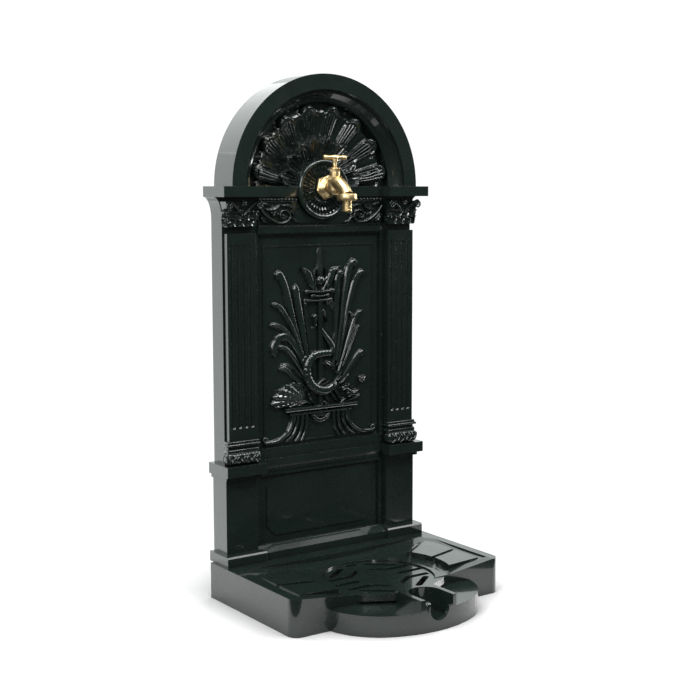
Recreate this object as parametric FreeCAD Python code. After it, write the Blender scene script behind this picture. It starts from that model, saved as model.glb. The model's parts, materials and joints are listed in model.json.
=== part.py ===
import FreeCAD, Part
import math
import os

# Cast drinking fountain: a hollow column with an arched hood, a brass tap and a drained tray.
# Millimetres.  +Z is up, the front faces -Y, and X = 0 is the plane of symmetry.
# "Depth" is always measured forwards from the flat rear face of the column.

# ------------------------------------------------------------------ overall sizes
OVERALL_HEIGHT = 1040.0
OVERALL_DEPTH = 435.0
TRAY_WIDTH = 497.0
COLUMN_WIDTH = 458.0
CASTING_WALL = 6.0
FIT = 0.05                 # radial clearance of screwed and turning fits
LOOSE = 0.3                # clearance between castings that are only dropped together

# ------------------------------------------------------------------ tray
TRAY_HEIGHT = 72.0
TRAY_REAR = 14.0           # depth at which the tray starts, under the overhanging column
BOW_REACH = 115.0          # how far the bow stands in front of the tray's straight front
BOW_HALF_WIDTH = 168.0
SHELF_HEIGHT = 40.0
PLATFORM_HEIGHT = 58.0
TRAY_CORNER_RADIUS = 20.0
RIM_WIDTH = 19.6
GUTTER_WIDTH = 13.0
DECK_SLOPE = 0.11
PANEL_HEIGHT = 70.0
GRATE_RADIUS = 110.0
GRATE_THICKNESS = 5.0
GRATE_SEAT_WIDTH = 5.0
GRATE_FRONT_GAP = 77.0     # grate centre behind the tray's straight front
GRATE_RECESS = 3.0         # how far the grate's top lies below the platform
RING_WIDTH = 17.0          # raised ring between the grate and the deck
SLOT_WIDTH = 13.0
WELL_RADIUS = 33.0
WELL_BACK_FROM_TIP = 43.0
TROUGH_HALF_WIDTH = 42.0
TROUGH_HEIGHT = 63.0
SILL_HEIGHT = 43.0
SPOUT_GROOVE_RADIUS = 23.0
NUB_RADIUS = 8.5
PAN_WALL = 3.0
PAN_FLOOR_Z = 24.0
SPIGOT_RADIUS = 7.0
SPIGOT_BORE = 5.5
SPIGOT_RISE = 6.5          # spigot axis above the inside of the pan's floor
PAD_RADIUS = 12.0          # bosses of the tray under its bolts

# ------------------------------------------------------------------ pedestal
PLINTH_HALF_WIDTH = 242.1
PLINTH_DEPTH = 72.5
PLINTH_HEIGHT = 20.3
PEDESTAL_HEIGHT = 201.2
DIE_HALF_WIDTH = 232.3
DIE_DEPTH = 52.0
DIE_INNER_X = 160.0
CAP_HALF_WIDTH = 241.5
CAP_DEPTH = 74.8
CAP_HEIGHT = 21.5
CAP_INNER_X = 151.0
LOWER_WINDOW_HALF = 148.0
LOWER_WINDOW_BOTTOM = 26.0     # above the top of the tray
LOWER_WINDOW_TOP = 166.0

# ------------------------------------------------------------------ column
BODY_FACE = 41.4           # depth of the flat front of the column
RELIEF_WINDOW_HALF = 150.0
RELIEF_WINDOW_MARGIN = 21.0
PANEL_LAP = 8.0
PANEL_THICKNESS = 6.0
FLANGE_THICKNESS = 8.0
PILASTER_INNER_X = 161.0
PILASTER_OUTER_X = 226.0
PILASTER_DEPTH = 55.5
FLUTE_COUNT = 4
FLUTE_RADIUS = 5.0
BASE_HEIGHT = 46.8
ARCHITRAVE_HEIGHT = 16.6

# ------------------------------------------------------------------ hood
ARCH_RADIUS = 221.7
ARCH_DEPTH = 71.7
ARCH_BAND = 30.7
NICHE_RADIUS = 168.0
FRIEZE_HEIGHT = 55.6
CORNICE_HEIGHT = 20.5
CORNICE_HALF_WIDTH = 246.3
CORNICE_DEPTH = 82.3
CORNICE_MIDDLE_DEPTH = 50.0
CORNICE_BLOCK_INNER_X = 146.0
NICHE_BACK = 26.0
ROSETTE_RADIUS = 60.0
ROSETTE_THICKNESS = 10.0
ROSETTE_DROP = 4.0         # rosette centre below the tap's inlet axis

# ------------------------------------------------------------------ tap and pipe
TAP_ABOVE_CORNICE = -2.3   # inlet axis relative to the top of the cornice
SHANK_RADIUS = 10.4
SHANK_END = 16.5
TAP_BOSS_RADIUS = 24.0
TAP_BOSS_BACK = 34.0
BACK_NUT_THICKNESS = 5.5
TAP_FLANGE_FLATS = 44.0
TAP_FLANGE_THICKNESS = 7.0
BARREL_REACH = 93.0
BARREL_RADIUS = 14.5
SPOUT_REACH = 136.0
SPOUT_RADIUS = 11.0
WATERWAY_RADIUS = 5.0
OUTLET_THREAD_RADIUS = 13.2
UNION_RADIUS = 19.5
UNION_HEIGHT = 14.0
TAIL_RADIUS = 9.5
TAIL_BORE = 7.0
TAIL_LENGTH = 24.5
STEM_RADIUS = 4.0
SPINDLE_THREAD_RADIUS = 5.0
TEE_LENGTH = 54.0
TEE_RADIUS = 5.0
VALVE_TRAVEL = 5.4
PIPE_RADIUS = 7.5
PIPE_BORE = 6.5
PIPE_DEPTH = 10.0
PORT_RADIUS = 9.5
INLET_HEIGHT = 130.0
INLET_THREAD_RADIUS = 9.3

# ------------------------------------------------------------------ levels worked out from the sizes
REAR_Y = OVERALL_DEPTH / 2
PEDESTAL_TOP = TRAY_HEIGHT + PEDESTAL_HEIGHT
CORNICE_TOP = OVERALL_HEIGHT - ARCH_RADIUS
CORNICE_BOTTOM = CORNICE_TOP - CORNICE_HEIGHT
HOOD_BOTTOM = CORNICE_BOTTOM - FRIEZE_HEIGHT
ARCHITRAVE_BOTTOM = HOOD_BOTTOM - ARCHITRAVE_HEIGHT
TRAY_FRONT = OVERALL_DEPTH - BOW_REACH
GRATE_DEPTH = TRAY_FRONT - GRATE_FRONT_GAP
WELL_DEPTH = OVERALL_DEPTH - WELL_BACK_FROM_TIP
GRATE_SEAT_Z = PLATFORM_HEIGHT - GRATE_THICKNESS - GRATE_RECESS
RING_RADIUS = GRATE_RADIUS + RING_WIDTH
BOSS_BOTTOM_Z = GRATE_SEAT_Z - CASTING_WALL
SPIGOT_Z = PAN_FLOOR_Z + PAN_WALL + SPIGOT_RISE
HALF_COLUMN = COLUMN_WIDTH / 2
PLATE_BACK = BODY_FACE - CASTING_WALL
TAP_Z = CORNICE_TOP + TAP_ABOVE_CORNICE
SEAT_Z = TAP_Z + 3.0
ROSETTE_FRONT = CORNICE_MIDDLE_DEPTH + ROSETTE_THICKNESS
FLANGE_REAR = ROSETTE_FRONT + 1.5
FLANGE_FRONT = FLANGE_REAR + TAP_FLANGE_THICKNESS
BARREL_TOP = TAP_Z + 13.0
OUTLET_Z = TAP_Z - 19.0
TEE_Z = TAP_Z + 59.0
PILASTER_MID_X = (PILASTER_INNER_X + PILASTER_OUTER_X) / 2
PILASTER_BOTTOM = PEDESTAL_TOP + BASE_HEIGHT
BACK_NUT_REAR = TAP_BOSS_BACK - 1.5 - BACK_NUT_THICKNESS


# ------------------------------------------------------------------ geometry helpers
def vec(x, depth, z):
    return FreeCAD.Vector(x, REAR_Y - depth, z)


def block(x0, x1, depth0, depth1, z0, z1):
    return Part.makeBox(x1 - x0, depth1 - depth0, z1 - z0, vec(x0, depth1, z0))


def wide_block(half_width, depth0, depth1, z0, z1):
    return block(-half_width, half_width, depth0, depth1, z0, z1)


def rod_z(radius, x, depth, z0, z1):
    return Part.makeCylinder(radius, z1 - z0, vec(x, depth, z0), FreeCAD.Vector(0, 0, 1))


def rod_y(radius, x, z, depth0, depth1):
    return Part.makeCylinder(radius, depth1 - depth0, vec(x, depth0, z), FreeCAD.Vector(0, -1, 0))


def rod_x(radius, depth, z, x0, x1):
    return Part.makeCylinder(radius, x1 - x0, vec(x0, depth, z), FreeCAD.Vector(1, 0, 0))


def ring_z(outer, inner, x, depth, z0, z1):
    return rod_z(outer, x, depth, z0, z1).cut(rod_z(inner, x, depth, z0 - 1, z1 + 1))


def ring_y(outer, inner, x, z, depth0, depth1):
    return rod_y(outer, x, z, depth0, depth1).cut(rod_y(inner, x, z, depth0 - 1, depth1 + 1))


def extrude(points, direction):
    wire = Part.makePolygon(points + [points[0]])
    return Part.Face(wire).extrude(direction)


def plan_prism(outline, z0, z1):
    return extrude([vec(x, depth, z0) for x, depth in outline], FreeCAD.Vector(0, 0, z1 - z0))


def face_prism(outline, depth0, depth1):
    return extrude([vec(x, depth0, z) for x, z in outline], FreeCAD.Vector(0, depth0 - depth1, 0))


def side_prism(profile, x0, x1):
    return extrude([vec(x0, depth, z) for depth, z in profile], FreeCAD.Vector(x1 - x0, 0, 0))


def turned_z(profile, x, depth):
    points = [vec(x + radius, depth, z) for radius, z in profile]
    face = Part.Face(Part.makePolygon(points + [points[0]]))
    return face.revolve(vec(x, depth, 0), FreeCAD.Vector(0, 0, 1), 360)


def turned_y(profile, x, z):
    points = [vec(x + radius, depth, z) for radius, depth in profile]
    face = Part.Face(Part.makePolygon(points + [points[0]]))
    return face.revolve(vec(x, 0, z), FreeCAD.Vector(0, -1, 0), 360)


def hexagon(flats):
    radius = flats / math.sqrt(3)
    return [(radius * math.cos(math.radians(60 * i)), radius * math.sin(math.radians(60 * i)))
            for i in range(6)]


def hex_z(flats, x, depth, z0, z1):
    return plan_prism([(x + u, depth + v) for u, v in hexagon(flats)], z0, z1)


def hex_y(flats, x, z, depth0, depth1):
    return face_prism([(x + u, z + v) for u, v in hexagon(flats)], depth0, depth1)


def mirrored(shape):
    return shape.mirror(FreeCAD.Vector(0, 0, 0), FreeCAD.Vector(1, 0, 0))


def both_sides(shape):
    return shape.fuse(mirrored(shape))


def cut_all(shape, tools):
    for tool in tools:
        shape = shape.cut(tool)
    return shape


def fuse_all(shape, additions):
    for addition in additions:
        shape = shape.fuse(addition)
    return shape.removeSplitter()


def side_name(side):
    return "left" if side < 0 else "right"


# ------------------------------------------------------------------ fasteners
BOLT_RADIUS = 4.0
BOLT_HEAD_FLATS = 13.0
BOLT_HEAD_HEIGHT = 5.5
NUT_HEIGHT = 6.5
WASHER_RADIUS = 8.5
WASHER_THICKNESS = 1.6
SCREW_RADIUS = 2.0
SCREW_HEAD_RADIUS = 4.0
SCREW_HEAD_HEIGHT = 2.6


def screw_y(x, z, seat_depth, length):
    """Pan-head screw driven forwards, with its head behind seat_depth."""
    head = rod_y(SCREW_HEAD_RADIUS, x, z, seat_depth - SCREW_HEAD_HEIGHT, seat_depth)
    slot = block(x - 5, x + 5, seat_depth - SCREW_HEAD_HEIGHT - 1, seat_depth - 1.6, z - 0.5, z + 0.5)
    shank = rod_y(SCREW_RADIUS, x, z, seat_depth, seat_depth + length)
    return head.cut(slot).fuse(shank).removeSplitter()


def screw_hole_y(x, z, seat_depth, length):
    return rod_y(SCREW_RADIUS + FIT, x, z, seat_depth - 20, seat_depth + length + FIT)


def screws(places, seat_depth, length):
    return Part.makeCompound([screw_y(x, z, seat_depth, length) for x, z in places])


def bolt_z(x, depth, seat_z, tip_z):
    """Hexagon bolt standing head up on seat_z."""
    head = hex_z(BOLT_HEAD_FLATS, x, depth, seat_z, seat_z + BOLT_HEAD_HEIGHT)
    return head.fuse(rod_z(BOLT_RADIUS, x, depth, tip_z, seat_z)).removeSplitter()


def nut_z(x, depth, top_z):
    nut = hex_z(BOLT_HEAD_FLATS, x, depth, top_z - NUT_HEIGHT, top_z)
    return nut.cut(rod_z(BOLT_RADIUS + FIT, x, depth, top_z - NUT_HEIGHT - 1, top_z + 1))


def bolt_hole_z(x, depth, z):
    return rod_z(BOLT_RADIUS + LOOSE, x, depth, z - 30, z + 30)


# fastener places, shared by the screws and by the holes they pass through
JOINT_BOLT_DEPTH = 20.0
TRAY_BOLTS = [(x, 38.0) for x in (-195.0, -80.0, 80.0, 195.0)]
JOINT_BOLTS = [(x, JOINT_BOLT_DEPTH) for x in (-195.0, -80.0, 80.0, 195.0)]
PANEL_SCREW_LENGTH = 9.0
RELIEF_BOTTOM = PEDESTAL_TOP + RELIEF_WINDOW_MARGIN
RELIEF_TOP = ARCHITRAVE_BOTTOM - 4.0
LAP_X = RELIEF_WINDOW_HALF + PANEL_LAP / 2 + 1.0
RELIEF_SCREWS = [(side * LAP_X, z) for side in (-1, 1)
                 for z in (RELIEF_BOTTOM + 12, (RELIEF_BOTTOM + RELIEF_TOP) / 2, RELIEF_TOP - 12)]
LOWER_LAP_X = LOWER_WINDOW_HALF + PANEL_LAP / 2 + 1.0
LOWER_SCREWS = [(side * LOWER_LAP_X, TRAY_HEIGHT + z) for side in (-1, 1)
                for z in (LOWER_WINDOW_BOTTOM + 12, LOWER_WINDOW_TOP - 12)]
PILASTER_SCREWS = [(side * PILASTER_MID_X, z) for side in (-1, 1)
                   for z in (PILASTER_BOTTOM + 30, ARCHITRAVE_BOTTOM - 30)]
BASE_SCREWS = [(side * PILASTER_MID_X, PEDESTAL_TOP + BASE_HEIGHT / 2) for side in (-1, 1)]
CAPITAL_SCREWS = [(side * PILASTER_MID_X, HOOD_BOTTOM + FRIEZE_HEIGHT / 2) for side in (-1, 1)]
FRIEZE_SCREWS = [(side * 105.0, HOOD_BOTTOM + FRIEZE_HEIGHT / 2) for side in (-1, 1)]
ROSETTE_SCREWS = [(side * 40.0, CORNICE_TOP - CORNICE_HEIGHT / 2) for side in (-1, 1)]
NICHE_LIP = 8.0
NICHE_SCREWS = [((NICHE_RADIUS - NICHE_LIP / 2 - 1) * math.cos(math.radians(angle)),
                 CORNICE_TOP + (NICHE_RADIUS - NICHE_LIP / 2 - 1) * math.sin(math.radians(angle)))
                for angle in (15, 65, 115, 165)]
PAN_LUG_RADIUS = GRATE_RADIUS + 2.0
PAN_LUGS = [(PAN_LUG_RADIUS * math.cos(math.radians(angle)),
             GRATE_DEPTH + PAN_LUG_RADIUS * math.sin(math.radians(angle)))
            for angle in (25, 155, 205, 335)]
CLIP_HEIGHTS = [RELIEF_BOTTOM + 0.22 * (RELIEF_TOP - RELIEF_BOTTOM),
                RELIEF_BOTTOM + 0.78 * (RELIEF_TOP - RELIEF_BOTTOM)]
CLIP_SCREW_X = 15.0


# ------------------------------------------------------------------ tray
def rounded_plan(half_width, depth0, depth1, radius, z0, z1):
    """Upright block whose two front corners are rounded."""
    body = wide_block(half_width, depth0, depth1, z0, z1)
    corner = block(half_width - radius, half_width + 1, depth1 - radius, depth1 + 1, z0 - 1, z1 + 1)
    corner = corner.cut(rod_z(radius, half_width - radius, depth1 - radius, z0 - 2, z1 + 2))
    return body.cut(both_sides(corner))


def bow_prism(inset, z0, z1):
    """The bow in front of the straight tray: two quick outer curves and one slow front curve."""
    side = BOW_HALF_WIDTH - inset
    tip = OVERALL_DEPTH - inset
    start = TRAY_FRONT - 2 * TRAY_CORNER_RADIUS
    shoulder_x = 0.65 * side
    shoulder = TRAY_FRONT + 0.75 * (tip - TRAY_FRONT)
    near = (side, TRAY_FRONT)
    quick = (0.89 * side, TRAY_FRONT + 0.40 * (tip - TRAY_FRONT))
    slow = (0.34 * side, TRAY_FRONT + 0.935 * (tip - TRAY_FRONT))

    def arc(points):
        return Part.Arc(*[vec(x, depth, z0) for x, depth in points]).toShape()

    def line(first, second):
        return Part.makeLine(vec(first[0], first[1], z0), vec(second[0], second[1], z0))

    edges = [line((-side, start), (side, start)),
             line((side, start), near),
             arc([near, quick, (shoulder_x, shoulder)]),
             arc([(shoulder_x, shoulder), slow, (0.0, tip)]),
             arc([(0.0, tip), (-slow[0], slow[1]), (-shoulder_x, shoulder)]),
             arc([(-shoulder_x, shoulder), (-quick[0], quick[1]), (-side, TRAY_FRONT)]),
             line((-side, TRAY_FRONT), (-side, start))]
    return Part.Face(Part.Wire(edges)).extrude(FreeCAD.Vector(0, 0, z1 - z0))


def deck_cutter():
    """Everything above the shallow funnel of the deck, inside the rims."""
    reach = TRAY_WIDTH
    funnel = turned_z([(0, PLATFORM_HEIGHT), (RING_RADIUS, PLATFORM_HEIGHT),
                       (RING_RADIUS + reach, PLATFORM_HEIGHT + DECK_SLOPE * reach),
                       (RING_RADIUS + reach, 2 * TRAY_HEIGHT), (0, 2 * TRAY_HEIGHT)], 0, GRATE_DEPTH)
    inner = wide_block(TRAY_WIDTH / 2 - RIM_WIDTH, PLINTH_DEPTH + 28, TRAY_FRONT - RIM_WIDTH,
                       PLATFORM_HEIGHT - 1, TRAY_HEIGHT + 5)
    return funnel.common(inner)


def front_ramp_cutter():
    """Slopes the front rim down towards the middle, and clears the platform."""
    outer = TRAY_WIDTH / 2 - RIM_WIDTH
    slope = [(outer, TRAY_HEIGHT), (RING_RADIUS - 8, PLATFORM_HEIGHT + 1.5), (0, PLATFORM_HEIGHT),
             (0, TRAY_HEIGHT + 5), (outer, TRAY_HEIGHT + 5)]
    front = TRAY_FRONT + 5
    return both_sides(face_prism(slope, TRAY_FRONT - RIM_WIDTH - 0.01, front))


def raised_panels():
    """Two flat-topped stepping panels each side, cut back to an arc around the grate."""
    outer = TRAY_WIDTH / 2 - RIM_WIDTH - GUTTER_WIDTH
    rear = [(outer, GRATE_DEPTH - 121), (outer, GRATE_DEPTH - 34), (132, GRATE_DEPTH - 10),
            (110, GRATE_DEPTH - 50)]
    front = [(outer, GRATE_DEPTH - 23), (outer, GRATE_DEPTH + 46), (118, GRATE_DEPTH + 56),
             (128, GRATE_DEPTH + 1)]
    rib_foot = plan_prism([(outer, GRATE_DEPTH - 133), (outer, GRATE_DEPTH - 128),
                           (126, GRATE_DEPTH - 68), (124, GRATE_DEPTH - 72)],
                          PLATFORM_HEIGHT - 4, PANEL_HEIGHT - 1)
    panels = plan_prism(rear, PLATFORM_HEIGHT - 4, PANEL_HEIGHT)
    panels = panels.fuse(plan_prism(front, PLATFORM_HEIGHT - 4, PANEL_HEIGHT))
    panels = panels.fuse(rib_foot)
    around = rod_z(RING_RADIUS + 17, 0, GRATE_DEPTH, 0, 2 * TRAY_HEIGHT)
    return both_sides(panels.cut(around))


def platform():
    """Faceted apron that carries the front of the grate's ring."""
    half = [(RING_RADIUS - 2, TRAY_FRONT - 16), (98, TRAY_FRONT + 5), (68, TRAY_FRONT + 21),
            (36, TRAY_FRONT + 38)]
    outline = half + [(-x, depth) for x, depth in reversed(half)]
    return plan_prism(outline, BOSS_BOTTOM_Z, PLATFORM_HEIGHT)


def well_cutter():
    """Round-ended well, open over a low sill at the front, with a half-round pouring groove."""
    floor = SILL_HEIGHT - SPOUT_GROOVE_RADIUS
    sill_back = OVERALL_DEPTH - 9
    well = rod_z(WELL_RADIUS, 0, WELL_DEPTH, floor, TRAY_HEIGHT + 20)
    slot = wide_block(WELL_RADIUS, WELL_DEPTH, sill_back, floor, TRAY_HEIGHT + 20)
    above_sill = wide_block(WELL_RADIUS, sill_back - 1, OVERALL_DEPTH + 20, SILL_HEIGHT, TRAY_HEIGHT + 20)
    groove = rod_y(SPOUT_GROOVE_RADIUS, 0, SILL_HEIGHT, WELL_DEPTH, OVERALL_DEPTH + 20)
    return fuse_all(well, [slot, above_sill, groove])


def sill_nub():
    """Ball-topped nub on the left of the sill, which keeps a hose in the groove."""
    x = -WELL_RADIUS + NUB_RADIUS
    nub = rod_z(NUB_RADIUS, x, OVERALL_DEPTH - NUB_RADIUS, SILL_HEIGHT - 2, SILL_HEIGHT + 14)
    top = [edge for edge in nub.Edges if edge.BoundBox.ZMin > SILL_HEIGHT + 13]
    nub = nub.makeFillet(NUB_RADIUS - 0.3, top)
    return nub.cut(rod_y(SPOUT_GROOVE_RADIUS, 0, SILL_HEIGHT, WELL_DEPTH, OVERALL_DEPTH + 20))


def tray_hollow():
    """Open underside of the tray, leaving the walls, the deck and the grate's boss."""
    wall = CASTING_WALL
    main = rounded_plan(TRAY_WIDTH / 2 - wall, TRAY_REAR + wall, TRAY_FRONT - wall,
                        TRAY_CORNER_RADIUS - wall, -1, GRATE_SEAT_Z)
    under_column = wide_block(TRAY_WIDTH / 2 - wall, TRAY_REAR + wall, PLINTH_DEPTH + 20,
                              GRATE_SEAT_Z - 1, TRAY_HEIGHT - 8)
    bow = bow_prism(wall, -1, SHELF_HEIGHT - wall)
    boss = ring_z(RING_RADIUS - 8, GRATE_RADIUS - GRATE_SEAT_WIDTH, 0, GRATE_DEPTH,
                  BOSS_BOTTOM_Z, GRATE_SEAT_Z)
    trough = wide_block(TROUGH_HALF_WIDTH, WELL_DEPTH - WELL_RADIUS - 5, OVERALL_DEPTH,
                        -2, TROUGH_HEIGHT)
    pan_room = rod_z(GRATE_RADIUS - 0.5, 0, GRATE_DEPTH, -1, BOSS_BOTTOM_Z)
    pads = [rod_z(PAD_RADIUS, x, depth, GRATE_SEAT_Z, TRAY_HEIGHT) for x, depth in TRAY_BOLTS]
    return cut_all(fuse_all(main, [under_column, bow]), [boss, trough] + pads).fuse(pan_room)


def make_basin_tray():
    body = rounded_plan(TRAY_WIDTH / 2, TRAY_REAR, TRAY_FRONT, TRAY_CORNER_RADIUS, 0, TRAY_HEIGHT)
    body = cut_all(body, [deck_cutter(), front_ramp_cutter()])
    trough = wide_block(TROUGH_HALF_WIDTH, WELL_DEPTH - WELL_RADIUS - 5, OVERALL_DEPTH, 0, TROUGH_HEIGHT)
    trough = trough.common(bow_prism(0, -1, TROUGH_HEIGHT + 1))
    body = fuse_all(body, [raised_panels(), bow_prism(0, 0, SHELF_HEIGHT), platform(), trough])
    body = body.cut(tray_hollow())
    grate_hole = rod_z(GRATE_RADIUS - GRATE_SEAT_WIDTH, 0, GRATE_DEPTH, 0, TRAY_HEIGHT)
    grate_seat = rod_z(GRATE_RADIUS + LOOSE, 0, GRATE_DEPTH, GRATE_SEAT_Z, TRAY_HEIGHT)
    grate_hole = grate_hole.cut(wide_block(TROUGH_HALF_WIDTH, WELL_DEPTH - WELL_RADIUS - 5,
                                           OVERALL_DEPTH, 0, BOSS_BOTTOM_Z))
    body = cut_all(body, [grate_hole, grate_seat, well_cutter()])
    body = body.fuse(sill_nub())
    body = cut_all(body, [bolt_hole_z(x, depth, TRAY_HEIGHT) for x, depth in TRAY_BOLTS])
    body = cut_all(body, [rod_z(SCREW_RADIUS + FIT, x, depth, 0, GRATE_SEAT_Z - 1) for x, depth in PAN_LUGS])
    return body.cut(rod_y(SPIGOT_RADIUS + LOOSE, 0, SPIGOT_Z, GRATE_DEPTH + 80, WELL_DEPTH)).removeSplitter()


def rotated_slot(length, radius, angle):
    """A round-ended slot of the given length whose middle lies on a radius of the grate."""
    straight = length - SLOT_WIDTH
    bar = Part.makeBox(straight, SLOT_WIDTH, 40, FreeCAD.Vector(-straight / 2, -SLOT_WIDTH / 2, 0))
    slot = bar
    for end in (-straight / 2, straight / 2):
        slot = slot.fuse(Part.makeCylinder(SLOT_WIDTH / 2, 40, FreeCAD.Vector(end, 0, 0)))
    slot.rotate(FreeCAD.Vector(0, 0, 0), FreeCAD.Vector(0, 0, 1), angle + 90)
    slot.translate(vec(radius * math.cos(math.radians(angle)),
                       GRATE_DEPTH - radius * math.sin(math.radians(angle)), GRATE_SEAT_Z - 20))
    return slot


def grate_slots():
    """Three level slots each side, and a slanting pair and a short one at the front and the back."""
    slots = []
    slot_end = 0.95 * GRATE_RADIUS
    inner_end = 0.43 * GRATE_RADIUS
    pitch = 0.31 * GRATE_RADIUS
    for side in (-1, 1):
        for row in (-1, 0, 1):
            outer = math.sqrt(slot_end ** 2 - (abs(row) * pitch + SLOT_WIDTH / 2) ** 2)
            inner = inner_end if row == 0 else 0.40 * GRATE_RADIUS
            x0, x1 = sorted((side * inner, side * outer))
            depth = GRATE_DEPTH + row * pitch
            slots.append(block(x0, x1, depth - SLOT_WIDTH / 2, depth + SLOT_WIDTH / 2, 0, TRAY_HEIGHT))
            if row:
                kink = side * (inner + 2)
                tip = side * 0.12 * GRATE_RADIUS
                away = row * 0.20 * GRATE_RADIUS
                slots.append(plan_prism([(kink, depth - SLOT_WIDTH / 2), (kink, depth + SLOT_WIDTH / 2),
                                         (tip, depth + away + SLOT_WIDTH / 2),
                                         (tip, depth + away - SLOT_WIDTH / 2)], 0, TRAY_HEIGHT))
    for angle in (52, 128, 232, 308):
        slots.append(rotated_slot(0.62 * GRATE_RADIUS, 0.80 * GRATE_RADIUS, angle))
    for angle in (90, 270):
        slots.append(rotated_slot(0.26 * GRATE_RADIUS, 0.88 * GRATE_RADIUS, angle))
    return slots


def make_grate_disc():
    disc = turned_z([(0, GRATE_SEAT_Z), (GRATE_RADIUS, GRATE_SEAT_Z),
                     (GRATE_RADIUS, GRATE_SEAT_Z + GRATE_THICKNESS - 1),
                     (GRATE_RADIUS - 1, GRATE_SEAT_Z + GRATE_THICKNESS),
                     (0, GRATE_SEAT_Z + GRATE_THICKNESS)], 0, GRATE_DEPTH)
    return cut_all(disc, grate_slots()).removeSplitter()


def make_drain_pan():
    outer = GRATE_RADIUS - GRATE_SEAT_WIDTH + 2
    inner = outer - PAN_WALL
    top = BOSS_BOTTOM_Z
    pan = turned_z([(0, PAN_FLOOR_Z), (outer, PAN_FLOOR_Z), (outer, top), (inner, top),
                    (inner, PAN_FLOOR_Z + PAN_WALL), (0, PAN_FLOOR_Z + PAN_WALL)], 0, GRATE_DEPTH)
    lugs = [rod_z(7, x, depth, top - 3, top) for x, depth in PAN_LUGS]
    pan = fuse_all(pan, lugs).cut(rod_z(inner, 0, GRATE_DEPTH, PAN_FLOOR_Z + PAN_WALL, top + 1))
    pan = cut_all(pan, [rod_z(SCREW_RADIUS + FIT, x, depth, 0, top + 1) for x, depth in PAN_LUGS])
    spigot = rod_y(SPIGOT_RADIUS, 0, SPIGOT_Z, GRATE_DEPTH + inner - 1, WELL_DEPTH - WELL_RADIUS + 3)
    waterway = rod_y(SPIGOT_BORE, 0, SPIGOT_Z, GRATE_DEPTH + inner - 10, WELL_DEPTH)
    return pan.fuse(spigot).cut(waterway).removeSplitter()


def make_drain_pan_screws():
    solids = []
    for x, depth in PAN_LUGS:
        lug_z = BOSS_BOTTOM_Z - 3
        head = rod_z(SCREW_HEAD_RADIUS, x, depth, lug_z - SCREW_HEAD_HEIGHT, lug_z)
        solids.append(head.fuse(rod_z(SCREW_RADIUS, x, depth, lug_z, GRATE_SEAT_Z - 1 - FIT)))
    return Part.makeCompound([solid.removeSplitter() for solid in solids])


# ------------------------------------------------------------------ pedestal
def make_pedestal_casting():
    base = TRAY_HEIGHT
    plinth_top = base + PLINTH_HEIGHT
    cap_bottom = PEDESTAL_TOP - CAP_HEIGHT
    foot = both_sides(side_prism([(0, base), (PLINTH_DEPTH, base), (PLINTH_DEPTH, plinth_top - 3),
                                  (PLINTH_DEPTH - 3, plinth_top), (0, plinth_top)],
                                 CAP_INNER_X, PLINTH_HALF_WIDTH))
    sill = side_prism([(0, base), (66, base), (66, base + 15), (BODY_FACE, base + LOWER_WINDOW_BOTTOM - 2),
                       (BODY_FACE, PEDESTAL_TOP), (0, PEDESTAL_TOP)], -DIE_INNER_X, DIE_INNER_X)
    die = both_sides(block(DIE_INNER_X, DIE_HALF_WIDTH, 0, DIE_DEPTH, plinth_top, cap_bottom))
    bed = both_sides(block(CAP_INNER_X + 4, CAP_HALF_WIDTH - 5, 0, DIE_DEPTH + 9, cap_bottom - 9, cap_bottom))
    cap = both_sides(block(CAP_INNER_X, CAP_HALF_WIDTH, 0, CAP_DEPTH, cap_bottom, PEDESTAL_TOP))
    ledge = side_prism([(BODY_FACE - 1, PEDESTAL_TOP - 26), (BODY_FACE + 2, PEDESTAL_TOP - 26),
                        (BODY_FACE + 2, PEDESTAL_TOP - 20), (BODY_FACE + 4, PEDESTAL_TOP - 18),
                        (BODY_FACE + 6, PEDESTAL_TOP - 15), (BODY_FACE + 6, PEDESTAL_TOP),
                        (BODY_FACE - 1, PEDESTAL_TOP)], -CAP_INNER_X, CAP_INNER_X)
    body = fuse_all(foot, [sill, die, bed, cap, ledge])
    hollow = wide_block(DIE_HALF_WIDTH - CASTING_WALL, -1, PLATE_BACK, base + FLANGE_THICKNESS,
                        PEDESTAL_TOP - FLANGE_THICKNESS)
    window = wide_block(LOWER_WINDOW_HALF, PLATE_BACK - 1, PLINTH_DEPTH,
                        base + LOWER_WINDOW_BOTTOM, base + LOWER_WINDOW_TOP)
    body = cut_all(body, [hollow, window, pipe_notch(PEDESTAL_TOP)])
    body = cut_all(body, [bolt_slot(x, depth) for x, depth in TRAY_BOLTS])
    body = cut_all(body, [bolt_hole_z(x, depth, PEDESTAL_TOP) for x, depth in JOINT_BOLTS])
    return cut_all(body, [screw_hole_y(x, z, PLATE_BACK, PANEL_SCREW_LENGTH - PANEL_THICKNESS)
                          for x, z in LOWER_SCREWS]).removeSplitter()


def bolt_slot(x, depth):
    """Head pocket for a bolt that stands in the pedestal's bottom flange."""
    return rod_z(WASHER_RADIUS + 2, x, depth, TRAY_HEIGHT + FLANGE_THICKNESS,
                 TRAY_HEIGHT + FLANGE_THICKNESS + 12).fuse(rod_z(BOLT_RADIUS + LOOSE, x, depth,
                                                                  TRAY_HEIGHT - 1, TRAY_HEIGHT + 12))


def pipe_notch(z):
    """Slot through the flanges at level z, open to the rear, for the riser pipe."""
    reach = PIPE_DEPTH + PIPE_RADIUS + 2
    return wide_block(PIPE_RADIUS + 4, -1, reach, z - FLANGE_THICKNESS - 1, z + FLANGE_THICKNESS + 1)


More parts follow.
